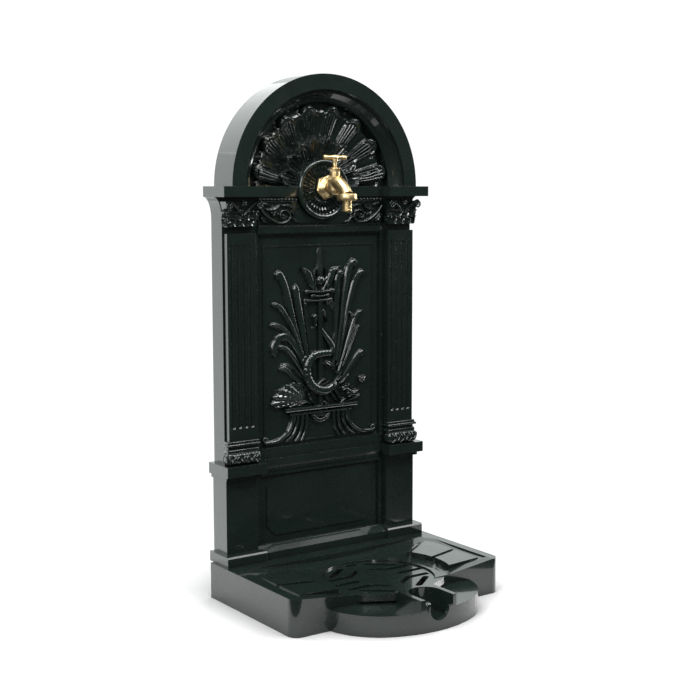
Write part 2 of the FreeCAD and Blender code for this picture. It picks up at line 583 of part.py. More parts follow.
def make_lower_panel():
    base = TRAY_HEIGHT
    z0 = base + LOWER_WINDOW_BOTTOM - PANEL_LAP
    z1 = base + LOWER_WINDOW_TOP + PANEL_LAP
    front = PLATE_BACK
    plate = wide_block(LOWER_WINDOW_HALF + PANEL_LAP, front - PANEL_THICKNESS, front, z0, z1)
    half = LOWER_WINDOW_HALF - 18
    low = base + LOWER_WINDOW_BOTTOM + 14
    high = base + LOWER_WINDOW_TOP - 4
    corner = 20
    field = [(-half + corner, low), (half - corner, low), (half, low + corner), (half, high - corner),
             (half - corner, high), (-half + corner, high), (-half, high - corner), (-half, low + corner)]
    plate = plate.fuse(face_prism(field, front - 1, front + 2))
    return cut_all(plate, [screw_hole_y(x, z, front - PANEL_THICKNESS, PANEL_SCREW_LENGTH)
                           for x, z in LOWER_SCREWS]).removeSplitter()


# ------------------------------------------------------------------ column
def make_column_casting():
    body = wide_block(HALF_COLUMN, 0, BODY_FACE, PEDESTAL_TOP, HOOD_BOTTOM)
    architrave = side_prism([(BODY_FACE - 1, ARCHITRAVE_BOTTOM), (BODY_FACE + 4, ARCHITRAVE_BOTTOM),
                             (BODY_FACE + 4, HOOD_BOTTOM - 4), (BODY_FACE + 6, HOOD_BOTTOM - 2),
                             (BODY_FACE + 6, HOOD_BOTTOM), (BODY_FACE - 1, HOOD_BOTTOM)],
                            -RELIEF_WINDOW_HALF, RELIEF_WINDOW_HALF)
    body = fuse_all(body, [architrave])
    hollow = wide_block(HALF_COLUMN - CASTING_WALL, -1, PLATE_BACK, PEDESTAL_TOP + FLANGE_THICKNESS,
                        HOOD_BOTTOM - FLANGE_THICKNESS)
    window = wide_block(RELIEF_WINDOW_HALF, PLATE_BACK - 1, BODY_FACE + 1, RELIEF_BOTTOM, RELIEF_TOP)
    body = cut_all(body, [hollow, window, pipe_notch(PEDESTAL_TOP), pipe_notch(HOOD_BOTTOM)])
    for level in (PEDESTAL_TOP, HOOD_BOTTOM):
        body = cut_all(body, [bolt_hole_z(x, depth, level) for x, depth in JOINT_BOLTS])
    holes = RELIEF_SCREWS + PILASTER_SCREWS + BASE_SCREWS
    return cut_all(body, [screw_hole_y(x, z, PLATE_BACK, CASTING_WALL + 1)
                          for x, z in holes]).removeSplitter()


def bead_frame(half_width, z0, z1, width, depth0, depth1):
    outer = wide_block(half_width, depth0, depth1, z0, z1)
    return outer.cut(wide_block(half_width - width, depth0 - 1, depth1 + 1, z0 + width, z1 - width))


def make_relief_panel():
    front = PLATE_BACK
    back = front - PANEL_THICKNESS
    plate = wide_block(RELIEF_WINDOW_HALF + PANEL_LAP, back, front,
                       RELIEF_BOTTOM - PANEL_LAP, RELIEF_TOP + PANEL_LAP)
    bead = bead_frame(RELIEF_WINDOW_HALF - 15, RELIEF_BOTTOM + 6, RELIEF_TOP - 21, 2.5,
                      front - 1, front + 1.5)
    boss_reach = PIPE_DEPTH + PIPE_RADIUS
    bosses = [rod_y(5, side * CLIP_SCREW_X, z, boss_reach, front - 1)
              for side in (-1, 1) for z in CLIP_HEIGHTS]
    plate = fuse_all(plate, [bead] + bosses)
    holes = [screw_hole_y(x, z, back, PANEL_SCREW_LENGTH) for x, z in RELIEF_SCREWS]
    holes += [screw_hole_y(side * CLIP_SCREW_X, z, boss_reach, 7) for side in (-1, 1) for z in CLIP_HEIGHTS]
    return cut_all(plate, holes).removeSplitter()


def make_pilaster(side):
    """Fluted pilaster shaft, from the top of its base to the capital."""
    top = ARCHITRAVE_BOTTOM + 1.4
    shaft = block(PILASTER_INNER_X, PILASTER_OUTER_X, BODY_FACE, PILASTER_DEPTH, PILASTER_BOTTOM, top)
    pitch = (PILASTER_OUTER_X - PILASTER_INNER_X) / (FLUTE_COUNT + 0.6)
    first = PILASTER_MID_X - pitch * (FLUTE_COUNT - 1) / 2
    for index in range(FLUTE_COUNT):
        x = first + index * pitch
        flute = rod_z(FLUTE_RADIUS, x, PILASTER_DEPTH + 1.5, PILASTER_BOTTOM + 28, top - 24)
        for z in (PILASTER_BOTTOM + 28, top - 24):
            flute = flute.fuse(Part.makeSphere(FLUTE_RADIUS, vec(x, PILASTER_DEPTH + 1.5, z)))
        shaft = shaft.cut(flute)
    shaft = cut_all(shaft, [rod_y(SCREW_RADIUS + FIT, PILASTER_MID_X, z, 0, BODY_FACE + 6)
                            for x, z in PILASTER_SCREWS if x > 0])
    return shaft.removeSplitter() if side > 0 else mirrored(shaft.removeSplitter())


def rounded_block(x0, x1, depth0, depth1, z0, z1, radius):
    """Block whose exposed upright and level edges are rounded; its rear stays square."""
    body = block(x0, x1, depth0, depth1, z0, z1)
    rear_y = REAR_Y - depth0
    edges = [edge for edge in body.Edges if min(v.Y for v in edge.Vertexes) < rear_y - 0.01]
    return body.makeFillet(min(radius, (z1 - z0) * 0.45), edges)


def make_pilaster_base(side):
    """Round moulding, neck and thick torus under the pilaster."""
    bottom = PEDESTAL_TOP
    torus = rounded_block(PILASTER_INNER_X - 6, PILASTER_OUTER_X + 12, BODY_FACE, BODY_FACE + 27,
                          bottom, bottom + 26, 10)
    neck = block(PILASTER_INNER_X, PILASTER_OUTER_X + 4, BODY_FACE, BODY_FACE + 16, bottom + 20, bottom + 38)
    ring = rounded_block(PILASTER_INNER_X - 3, PILASTER_OUTER_X + 8, BODY_FACE, BODY_FACE + 21,
                         bottom + 35, PILASTER_BOTTOM, 4)
    base = fuse_all(torus, [neck, ring])
    base = base.cut(rod_y(SCREW_RADIUS + FIT, PILASTER_MID_X, bottom + BASE_HEIGHT / 2, 0, BODY_FACE + 8))
    return base.removeSplitter() if side > 0 else mirrored(base.removeSplitter())


def rectangle_wire(x0, x1, depth0, depth1, z):
    corners = [vec(x0, depth0, z), vec(x1, depth0, z), vec(x1, depth1, z), vec(x0, depth1, z)]
    return Part.makePolygon(corners + [corners[0]])


def make_capital(side):
    """Neck rings, flaring bell and abacus."""
    bottom = ARCHITRAVE_BOTTOM + 1.4
    neck = block(PILASTER_INNER_X - 2, PILASTER_OUTER_X + 3, BODY_FACE, PILASTER_DEPTH + 3,
                 bottom, HOOD_BOTTOM)
    bell = Part.makeLoft([rectangle_wire(PILASTER_INNER_X, PILASTER_OUTER_X, BODY_FACE,
                                         PILASTER_DEPTH + 1, HOOD_BOTTOM),
                          rectangle_wire(PILASTER_INNER_X - 7, PILASTER_OUTER_X + 9, BODY_FACE,
                                         PILASTER_DEPTH + 14, CORNICE_BOTTOM - 6)], True, True)
    abacus = block(PILASTER_INNER_X - 10, PILASTER_OUTER_X + 15, BODY_FACE, CORNICE_DEPTH - 5,
                   CORNICE_BOTTOM - 6, CORNICE_BOTTOM)
    capital = fuse_all(neck, [bell, abacus])
    capital = capital.cut(rod_y(SCREW_RADIUS + FIT, PILASTER_MID_X, HOOD_BOTTOM + FRIEZE_HEIGHT / 2, 0,
                                BODY_FACE + 8))
    return capital.removeSplitter() if side > 0 else mirrored(capital.removeSplitter())


# ------------------------------------------------------------------ hood
def upper_half(shape):
    keep = wide_block(2 * ARCH_RADIUS, -10, 2 * ARCH_DEPTH, CORNICE_TOP, OVERALL_HEIGHT + 10)
    return shape.common(keep)


def hood_sides():
    """Front outline of the frieze and cornice part, flaring out to the cornice."""
    flare_start = HOOD_BOTTOM + 13
    outline = [(HALF_COLUMN, HOOD_BOTTOM), (HALF_COLUMN, flare_start)]
    steps = 8
    for index in range(1, steps + 1):
        turn = math.radians(90 * index / steps)
        outline.append((HALF_COLUMN + (CORNICE_HALF_WIDTH - HALF_COLUMN) * (1 - math.cos(turn)),
                        flare_start + (CORNICE_BOTTOM - flare_start) * math.sin(turn)))
    outline += [(CORNICE_HALF_WIDTH, CORNICE_TOP), (0, CORNICE_TOP), (0, HOOD_BOTTOM)]
    return outline


def make_hood_casting():
    wall = CASTING_WALL
    body = both_sides(face_prism(hood_sides(), 0, BODY_FACE))
    blocks = both_sides(block(CORNICE_BLOCK_INNER_X, CORNICE_HALF_WIDTH, 0, CORNICE_DEPTH,
                              CORNICE_BOTTOM, CORNICE_TOP))
    middle = wide_block(CORNICE_BLOCK_INNER_X, 0, CORNICE_MIDDLE_DEPTH, CORNICE_BOTTOM, CORNICE_TOP)
    inner_band = ARCH_RADIUS - ARCH_BAND
    arch = turned_y([(NICHE_RADIUS, 0), (ARCH_RADIUS, 0), (ARCH_RADIUS, ARCH_DEPTH), (inner_band, ARCH_DEPTH),
                     (inner_band, ARCH_DEPTH - 8), (inner_band - 6, ARCH_DEPTH - 11),
                     (inner_band - 14, ARCH_DEPTH - 20), (NICHE_RADIUS + 4, ARCH_DEPTH - 24),
                     (NICHE_RADIUS, ARCH_DEPTH - 26)], 0, CORNICE_TOP)
    lip = ring_y(NICHE_RADIUS + 1, NICHE_RADIUS - NICHE_LIP, 0, CORNICE_TOP, NICHE_BACK - wall, NICHE_BACK)
    pocket = turned_y([(NICHE_RADIUS + wall, -1), (ARCH_RADIUS - wall, -1),
                       (ARCH_RADIUS - wall, ARCH_DEPTH - wall), (inner_band + wall, ARCH_DEPTH - wall),
                       (inner_band - 4, ARCH_DEPTH - 26), (NICHE_RADIUS + wall, ARCH_DEPTH - 32)],
                      0, CORNICE_TOP)
    boss = rod_y(TAP_BOSS_RADIUS, 0, TAP_Z, TAP_BOSS_BACK, CORNICE_MIDDLE_DEPTH)
    body = fuse_all(body, [blocks, middle, upper_half(arch.cut(pocket)), upper_half(lip)])
    hollow = wide_block(HALF_COLUMN - wall, -1, PLATE_BACK, HOOD_BOTTOM + FLANGE_THICKNESS,
                        CORNICE_TOP - wall)
    body = body.cut(hollow).cut(rod_y(TAP_BOSS_RADIUS, 0, TAP_Z, -1, TAP_BOSS_BACK))
    body = fuse_all(body, [boss])
    body = cut_all(body, [rod_y(SHANK_RADIUS + FIT, 0, TAP_Z, 0, CORNICE_DEPTH), pipe_notch(HOOD_BOTTOM)])
    body = cut_all(body, [bolt_hole_z(x, depth, HOOD_BOTTOM - 20) for x, depth in JOINT_BOLTS])
    front_holes = CAPITAL_SCREWS + FRIEZE_SCREWS
    body = cut_all(body, [screw_hole_y(x, z, PLATE_BACK, wall + 1) for x, z in front_holes])
    body = cut_all(body, [screw_hole_y(x, z, PLATE_BACK, CORNICE_MIDDLE_DEPTH - PLATE_BACK + 1)
                          for x, z in ROSETTE_SCREWS])
    return cut_all(body, [screw_hole_y(x, z, NICHE_BACK - wall, wall + 1)
                          for x, z in NICHE_SCREWS]).removeSplitter()


def make_frieze_panel():
    """Applied ornament strip between the capitals, notched around the rosette."""
    half = PILASTER_INNER_X - 10 - 1
    strip = wide_block(half, BODY_FACE, BODY_FACE + 4, HOOD_BOTTOM + 2, CORNICE_BOTTOM - 2)
    edge = wide_block(half, BODY_FACE, BODY_FACE + 6, CORNICE_BOTTOM - 7, CORNICE_BOTTOM - 3)
    strip = strip.fuse(edge).cut(rod_y(ROSETTE_RADIUS + LOOSE, 0, TAP_Z - ROSETTE_DROP, 0, CORNICE_DEPTH))
    strip = cut_all(strip, [rod_y(SCREW_RADIUS + FIT, x, z, 0, BODY_FACE + 3.2) for x, z in FRIEZE_SCREWS])
    return strip.removeSplitter()


def make_shell_niche():
    """Two-tier fluted shell that closes the arch; its flutes are shallow scoops."""
    radius = NICHE_RADIUS - LOOSE
    back = NICHE_BACK
    shell = turned_y([(0, back), (radius, back), (radius, back + 12), (radius - 8, back + 20),
                      (radius - 40, back + 12), (98, back + 8), (94, back + 14), (74, back + 9),
                      (56, back + 6), (0, back + 6)], 0, CORNICE_TOP)
    shell = upper_half(shell)
    flute_count = 13
    for index in range(flute_count):
        angle = math.radians(180 * (index + 0.5) / flute_count)
        tip = vec((radius - 4) * math.cos(angle), back + 32, CORNICE_TOP + (radius - 4) * math.sin(angle))
        inward = FreeCAD.Vector(-math.cos(angle), 0, -math.sin(angle))
        shell = shell.cut(Part.makeCone(15, 5, 66, tip, inward))
    shell = shell.cut(rod_y(TAP_BOSS_RADIUS + LOOSE, 0, TAP_Z, 0, CORNICE_DEPTH))
    return cut_all(shell, [rod_y(SCREW_RADIUS + FIT, x, z, 0, back + 5)
                           for x, z in NICHE_SCREWS]).removeSplitter()


def make_rosette():
    """Round boss plate behind the tap, with a raised rim."""
    z = TAP_Z - ROSETTE_DROP
    back = CORNICE_MIDDLE_DEPTH
    front = ROSETTE_FRONT
    disc = turned_y([(0, back), (ROSETTE_RADIUS, back), (ROSETTE_RADIUS, front - 4),
                     (ROSETTE_RADIUS - 2, front - 1), (ROSETTE_RADIUS - 4, front - 1),
                     (ROSETTE_RADIUS - 7, front - 4), (28, front - 3), (25, front), (0, front)], 0, z)
    disc = disc.cut(rod_y(SHANK_RADIUS + FIT, 0, TAP_Z, 0, CORNICE_DEPTH))
    disc = cut_all(disc, [rod_y(SCREW_RADIUS + FIT, x, hole_z, 0, back + 4) for x, hole_z in ROSETTE_SCREWS])
    return disc.removeSplitter()


# ------------------------------------------------------------------ tap
def spout_path(start_depth, start_z, end_z):
    """Falling run, tangent arc and short drop to the outlet."""
    corner_z = TAP_Z - 1.0
    run = FreeCAD.Vector(0, -(SPOUT_REACH - start_depth), corner_z - start_z)
    length = run.Length
    along = run.normalize()
    down = FreeCAD.Vector(0, 0, -1)
    corner = vec(0, SPOUT_REACH, corner_z)
    turn = along.getAngle(down)
    radius = 15.0
    setback = radius * math.tan(turn / 2)
    first = corner - along * setback
    last = corner + down * setback
    bisector = (down - along).normalize()
    centre = corner + bisector * (radius / math.cos(turn / 2))
    middle = centre + (corner - centre).normalize() * radius
    edges = [Part.makeLine(corner - along * length, first),
             Part.Arc(first, middle, last).toShape(),
             Part.makeLine(last, vec(0, SPOUT_REACH, end_z))]
    return Part.Wire(edges), along


def spout_tube(radius, start_depth, start_z, end_z):
    path, along = spout_path(start_depth, start_z, end_z)
    section = Part.Wire(Part.makeCircle(radius, vec(0, start_depth, start_z), along))
    return path.makePipeShell([section], True, False)


def make_tap_body():
    axis_z = TAP_Z
    spout_z = TAP_Z + 1.5
    shank = rod_y(SHANK_RADIUS, 0, axis_z, SHANK_END, FLANGE_FRONT)
    flange = hex_y(TAP_FLANGE_FLATS, 0, axis_z, FLANGE_REAR, FLANGE_FRONT)
    flange = flange.common(turned_y([(0, FLANGE_REAR), (24.5, FLANGE_REAR), (24.5, FLANGE_FRONT - 2),
                                     (21, FLANGE_FRONT), (0, FLANGE_FRONT)], 0, axis_z))
    neck = turned_y([(0, FLANGE_FRONT - 1), (17, FLANGE_FRONT - 1), (13, FLANGE_FRONT + 5),
                     (12, BARREL_REACH), (0, BARREL_REACH)], 0, axis_z)
    barrel = turned_z([(0, axis_z - 15), (9, axis_z - 15), (13, axis_z - 11), (BARREL_RADIUS, axis_z - 6),
                       (BARREL_RADIUS, BARREL_TOP - 5), (BARREL_RADIUS + 1, BARREL_TOP - 4),
                       (BARREL_RADIUS + 1, BARREL_TOP), (0, BARREL_TOP)], 0, BARREL_REACH)
    spout = spout_tube(SPOUT_RADIUS, BARREL_REACH, spout_z, OUTLET_Z + 3)
    thread = rod_z(OUTLET_THREAD_RADIUS, 0, SPOUT_REACH, OUTLET_Z, OUTLET_Z + 8)
    body = fuse_all(shank, [flange, neck, barrel, spout, thread])
    inlet = rod_y(WATERWAY_RADIUS, 0, axis_z - 3, SHANK_END - 1, BARREL_REACH)
    lower = rod_z(6.0, 0, BARREL_REACH, axis_z - 10, SEAT_Z + 1)
    upper = rod_z(11.0 + FIT, 0, BARREL_REACH, SEAT_Z, BARREL_TOP + 1)
    outlet = spout_tube(WATERWAY_RADIUS, BARREL_REACH + 7, SEAT_Z + 2, OUTLET_Z + 1)
    mouth = rod_z(TAIL_BORE, 0, SPOUT_REACH, OUTLET_Z - 1, OUTLET_Z + 4)
    return cut_all(body, [inlet, lower, upper, outlet, mouth]).removeSplitter()


def make_tap_gasket():
    return ring_y(18.0, SHANK_RADIUS + FIT, 0, TAP_Z, ROSETTE_FRONT, FLANGE_REAR)


def make_tap_back_washer():
    return ring_y(17.0, SHANK_RADIUS + FIT, 0, TAP_Z, TAP_BOSS_BACK - 1.5, TAP_BOSS_BACK)


def make_tap_back_nut():
    nut = hex_y(30.0, 0, TAP_Z, BACK_NUT_REAR, BACK_NUT_REAR + BACK_NUT_THICKNESS)
    return nut.cut(rod_y(SHANK_RADIUS + FIT, 0, TAP_Z, 0, TAP_BOSS_BACK))


def make_bonnet():
    """Hexagon headwork that screws into the barrel and guides the spindle."""
    z = BARREL_TOP + 1.0
    skirt = ring_z(11.0, 9.7, 0, BARREL_REACH, SEAT_Z + 4.5, z)
    nut = hex_z(27.0, 0, BARREL_REACH, z, z + 8)
    neck = rod_z(10.5, 0, BARREL_REACH, z + 8, z + 17)
    bonnet = fuse_all(skirt, [nut, neck])
    bore = rod_z(SPINDLE_THREAD_RADIUS + FIT, 0, BARREL_REACH, z - 2, z + 11)
    chamber = rod_z(8.0, 0, BARREL_REACH, z + 9, z + 18)
    relief = rod_z(9.7, 0, BARREL_REACH, z - 10, z + 1.5)
    return cut_all(bonnet, [bore, chamber, relief]).removeSplitter()


def make_bonnet_seal():
    return ring_z(BARREL_RADIUS - 1, 11.0 + FIT, 0, BARREL_REACH, BARREL_TOP, BARREL_TOP + 1.0)


def make_gland_packing():
    z = BARREL_TOP + 10.0
    return ring_z(8.0 - FIT, STEM_RADIUS + FIT, 0, BARREL_REACH, z + VALVE_TRAVEL - 2.9, z + VALVE_TRAVEL)


def make_gland_nut():
    z = BARREL_TOP + 1.0
    skirt = rod_z(8.0 - FIT, 0, BARREL_REACH, z + 9 + VALVE_TRAVEL, z + 17)
    cap = hex_z(20.0, 0, BARREL_REACH, z + 17, z + 23)
    dome = turned_z([(0, z + 22), (11, z + 22), (11, z + 23), (7, z + 26), (0, z + 26)], 0, BARREL_REACH)
    nut = fuse_all(skirt, [cap, dome])
    return nut.cut(rod_z(STEM_RADIUS + FIT, 0, BARREL_REACH, z, z + 40)).removeSplitter()


def make_jumper_valve():
    plate = rod_z(9.2, 0, BARREL_REACH, SEAT_Z + 3, SEAT_Z + 5.5)
    stem = rod_z(2.5, 0, BARREL_REACH, SEAT_Z + 5.5, SEAT_Z + 12)
    stub = rod_z(2.5, 0, BARREL_REACH, SEAT_Z + 0.2, SEAT_Z + 3)
    return fuse_all(plate, [stem, stub])


def make_valve_washer():
    return ring_z(8.8, 2.5 + FIT, 0, BARREL_REACH, SEAT_Z, SEAT_Z + 3)


def make_spindle():
    """Screwed lower part, bored for the jumper, and plain stem up to the handle."""
    thread_top = BARREL_TOP + 12.0 - VALVE_TRAVEL
    thread = rod_z(SPINDLE_THREAD_RADIUS, 0, BARREL_REACH, SEAT_Z + 5.6, thread_top)
    stem = rod_z(STEM_RADIUS, 0, BARREL_REACH, thread_top - 1, TEE_Z + 4)
    spindle = fuse_all(thread, [stem])
    socket = rod_z(2.5 + FIT, 0, BARREL_REACH, SEAT_Z + 5, SEAT_Z + 12.5)
    pin_hole = rod_y(1.5 + FIT, 0, TEE_Z - 4, BARREL_REACH - 20, BARREL_REACH + 20)
    return cut_all(spindle, [socket, pin_hole]).removeSplitter()


def make_tee_bar():
    half = TEE_LENGTH / 2
    bar = rod_x(TEE_RADIUS, BARREL_REACH, TEE_Z, -half + 2, half - 2)
    for side in (-1, 1):
        x0, x1 = sorted((side * (half - 5), side * half))
        bar = bar.fuse(rod_x(TEE_RADIUS + 0.8, BARREL_REACH, TEE_Z, x0, x1))
    hub = rod_z(6.5, 0, BARREL_REACH, TEE_Z - 8, TEE_Z + 5.5)
    bar = fuse_all(bar, [hub])
    bore = rod_z(STEM_RADIUS + FIT, 0, BARREL_REACH, TEE_Z - 10, TEE_Z + 4 + FIT)
    pin_hole = rod_y(1.5 + FIT, 0, TEE_Z - 4, BARREL_REACH - 20, BARREL_REACH + 20)
    return cut_all(bar, [bore, pin_hole]).removeSplitter()


def make_handle_pin():
    return rod_y(1.5, 0, TEE_Z - 4, BARREL_REACH - 6.3, BARREL_REACH + 6.3)


def make_tail_washer():
    return ring_z(OUTLET_THREAD_RADIUS - 0.4, TAIL_BORE + 1, 0, SPOUT_REACH, OUTLET_Z - 2, OUTLET_Z)


def make_hose_tail():
    """Flanged tail with three holding grooves above a plain end."""
    top = OUTLET_Z - 2
    flange_z = top - 2.5
    bottom = flange_z - TAIL_LENGTH
    profile = [(TAIL_BORE, top), (OUTLET_THREAD_RADIUS - 0.4, top), (OUTLET_THREAD_RADIUS - 0.4, flange_z),
               (TAIL_RADIUS, flange_z)]
    groove_depth = 0.6
    pitch = 3.6
    for index in range(3):
        z = flange_z - 5 - index * pitch
        profile += [(TAIL_RADIUS, z), (TAIL_RADIUS - groove_depth, z - 0.5),
                    (TAIL_RADIUS - groove_depth, z - 1.3), (TAIL_RADIUS, z - 1.8)]
    profile += [(TAIL_RADIUS, bottom + 0.8), (TAIL_RADIUS - 0.8, bottom), (TAIL_BORE, bottom)]
    return turned_z(profile, 0, SPOUT_REACH)


def make_union_nut():
    """Round coupling ring, trapped under the tail's flange."""
    top = OUTLET_Z + 7.0
    bottom = top - UNION_HEIGHT
    flange_z = OUTLET_Z - 4.5
    body = turned_z([(TAIL_RADIUS + 0.6, bottom), (UNION_RADIUS - 2, bottom),
                     (UNION_RADIUS - 1, bottom + 1.5), (UNION_RADIUS, top - 2), (UNION_RADIUS - 1, top), (OUTLET_THREAD_RADIUS + FIT, top),
                     (OUTLET_THREAD_RADIUS + FIT, flange_z - FIT), (TAIL_RADIUS + 0.6, flange_z - FIT)],
                    0, SPOUT_REACH)
    return body


# ------------------------------------------------------------------ water supply
def make_tap_elbow():
    body = rod_y(13.5, 0, TAP_Z, PIPE_DEPTH - 8, BACK_NUT_REAR - LOOSE)
    port = rod_z(PORT_RADIUS, 0, PIPE_DEPTH, TAP_Z - 30, TAP_Z)
    body = fuse_all(body, [port])
    socket = rod_y(SHANK_RADIUS + FIT, 0, TAP_Z, SHANK_END, TAP_BOSS_BACK)
    chamber = rod_y(PIPE_BORE, 0, TAP_Z, PIPE_DEPTH - 5, SHANK_END + 1)
    pipe = rod_z(PIPE_RADIUS + FIT, 0, PIPE_DEPTH, TAP_Z - 31, TAP_Z - 16)
    bore = rod_z(PIPE_BORE - 1, 0, PIPE_DEPTH, TAP_Z - 17, TAP_Z)
    return cut_all(body, [socket, chamber, pipe, bore]).removeSplitter()


def make_riser_pipe():
    bottom = INLET_HEIGHT + 16
    top = TAP_Z - 16
    return ring_z(PIPE_RADIUS, PIPE_BORE, 0, PIPE_DEPTH, bottom, top)


def make_inlet_elbow():
    body = rod_y(12.8, 0, INLET_HEIGHT, 1.0, PIPE_DEPTH + 10)
    port = rod_z(PORT_RADIUS, 0, PIPE_DEPTH, INLET_HEIGHT, INLET_HEIGHT + 30)
    body = fuse_all(body, [port])
    mouth = rod_y(INLET_THREAD_RADIUS, 0, INLET_HEIGHT, 0, 13)
    chamber = rod_y(PIPE_BORE, 0, INLET_HEIGHT, 12, PIPE_DEPTH + 6)
    pipe = rod_z(PIPE_RADIUS + FIT, 0, PIPE_DEPTH, INLET_HEIGHT + 16, INLET_HEIGHT + 31)
    bore = rod_z(PIPE_BORE - 1, 0, PIPE_DEPTH, INLET_HEIGHT, INLET_HEIGHT + 17)
    return cut_all(body, [mouth, chamber, pipe, bore]).removeSplitter()


def make_pipe_clips():
    """Saddle straps that hold the riser pipe to the bosses of the relief panel."""
    clips = []
    seat = PIPE_DEPTH + PIPE_RADIUS
    for z in CLIP_HEIGHTS:
        strap = ring_z(PIPE_RADIUS + 1.6, PIPE_RADIUS + 0.1, 0, PIPE_DEPTH, z - 6, z + 6)
        legs = both_sides(block(PIPE_RADIUS + 0.1, PIPE_RADIUS + 1.6, PIPE_DEPTH, seat, z - 6, z + 6))
        feet = both_sides(block(PIPE_RADIUS + 0.1, CLIP_SCREW_X + 5, seat - 1.5, seat, z - 6, z + 6))
        strap = strap.cut(wide_block(30, PIPE_DEPTH, seat + 10, z - 7, z + 7))
        clip = fuse_all(strap, [legs, feet])
        holes = [rod_y(SCREW_RADIUS + FIT, side * CLIP_SCREW_X, z, 0, seat + 1) for side in (-1, 1)]
        clips.append(cut_all(clip, holes).removeSplitter())
    return Part.makeCompound(clips)


def make_pipe_clip_screws():
    seat = PIPE_DEPTH + PIPE_RADIUS - 1.5
    places = [(side * CLIP_SCREW_X, z) for side in (-1, 1) for z in CLIP_HEIGHTS]
    return screws(places, seat, 8)


# ------------------------------------------------------------------ joints between the castings
def make_tray_bolts():
    seat = TRAY_HEIGHT + FLANGE_THICKNESS + WASHER_THICKNESS
    return Part.makeCompound([bolt_z(x, depth, seat, TRAY_HEIGHT - 22) for x, depth in TRAY_BOLTS])


def make_tray_bolt_washers():
    seat = TRAY_HEIGHT + FLANGE_THICKNESS
    rings = [ring_z(WASHER_RADIUS, BOLT_RADIUS + LOOSE, x, depth, seat, seat + WASHER_THICKNESS)
             for x, depth in TRAY_BOLTS]
    return Part.makeCompound(rings)


def make_tray_bolt_nuts():
    return Part.makeCompound([nut_z(x, depth, GRATE_SEAT_Z) for x, depth in TRAY_BOLTS])


def joint_bolts(level):
    return Part.makeCompound([bolt_z(x, depth, level + FLANGE_THICKNESS, level - FLANGE_THICKNESS - 10)
                              for x, depth in JOINT_BOLTS])


def joint_nuts(level):
    return Part.makeCompound([nut_z(x, depth, level - FLANGE_THICKNESS) for x, depth in JOINT_BOLTS])


# ------------------------------------------------------------------ build
def sub_parts():
    nodes = {
        "basin_tray": make_basin_tray(),
        "grate_disc": make_grate_disc(),
        "drain_pan": make_drain_pan(),
        "drain_pan_screws": make_drain_pan_screws(),
        "pedestal_casting": make_pedestal_casting(),
        "lower_panel": make_lower_panel(),
        "lower_panel_screws": screws(LOWER_SCREWS, PLATE_BACK - PANEL_THICKNESS, PANEL_SCREW_LENGTH),
        "column_casting": make_column_casting(),
        "relief_panel": make_relief_panel(),
        "relief_panel_screws": screws(RELIEF_SCREWS, PLATE_BACK - PANEL_THICKNESS, PANEL_SCREW_LENGTH),
        "hood_casting": make_hood_casting(),
        "frieze_panel": make_frieze_panel(),
        "frieze_screws": screws(FRIEZE_SCREWS, PLATE_BACK, CASTING_WALL + 3),
        "shell_niche": make_shell_niche(),
        "shell_screws": screws(NICHE_SCREWS, NICHE_BACK - CASTING_WALL, CASTING_WALL + 4),
        "rosette": make_rosette(),
        "rosette_screws": screws(ROSETTE_SCREWS, PLATE_BACK, CORNICE_MIDDLE_DEPTH - PLATE_BACK + 3),
        "ornament_screws": screws(PILASTER_SCREWS + BASE_SCREWS + CAPITAL_SCREWS, PLATE_BACK,
                                  CASTING_WALL + 5),
        "tray_bolts": make_tray_bolts(),
        "tray_bolt_washers": make_tray_bolt_washers(),
        "tray_bolt_nuts": make_tray_bolt_nuts(),
        "column_bolts": joint_bolts(PEDESTAL_TOP),
        "column_bolt_nuts": joint_nuts(PEDESTAL_TOP),
        "hood_bolts": joint_bolts(HOOD_BOTTOM),
        "hood_bolt_nuts": joint_nuts(HOOD_BOTTOM),
        "tap_body": make_tap_body(),
        "tap_gasket": make_tap_gasket(),
        "tap_back_washer": make_tap_back_washer(),
        "tap_back_nut": make_tap_back_nut(),
        "bonnet": make_bonnet(),
        "bonnet_seal": make_bonnet_seal(),
        "gland_packing": make_gland_packing(),
        "gland_nut": make_gland_nut(),
        "jumper_valve": make_jumper_valve(),
        "valve_washer": make_valve_washer(),
        "spindle": make_spindle(),
        "tee_bar": make_tee_bar(),
        "handle_pin": make_handle_pin(),
        "union_nut": make_union_nut(),
        "hose_tail": make_hose_tail(),
        "tail_washer": make_tail_washer(),
        "tap_elbow": make_tap_elbow(),
        "riser_pipe": make_riser_pipe(),
        "inlet_elbow": make_inlet_elbow(),
        "pipe_clips": make_pipe_clips(),
        "pipe_clip_screws": make_pipe_clip_screws(),
    }
    for side in (-1, 1):
        nodes["pilaster_" + side_name(side)] = make_pilaster(side)
        nodes["pilaster_base_" + side_name(side)] = make_pilaster_base(side)
        nodes["capital_" + side_name(side)] = make_capital(side)
    return nodes


def main():
    os.makedirs("parts", exist_ok=True)
    for name, shape in sub_parts().items():
        box = shape.BoundBox
        print("%-20s solids %2d valid %s  x %.1f..%.1f  y %.1f..%.1f  z %.1f..%.1f" % (
            name, len(shape.Solids), shape.isValid(), box.XMin, box.XMax, box.YMin, box.YMax,
            box.ZMin, box.ZMax))
        shape.exportStep("parts/" + name + ".step")


main()
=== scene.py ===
import json
import math

import bmesh
import bpy
from bpy.props import FloatProperty, FloatVectorProperty, IntProperty, PointerProperty
from mathutils import Matrix, Vector


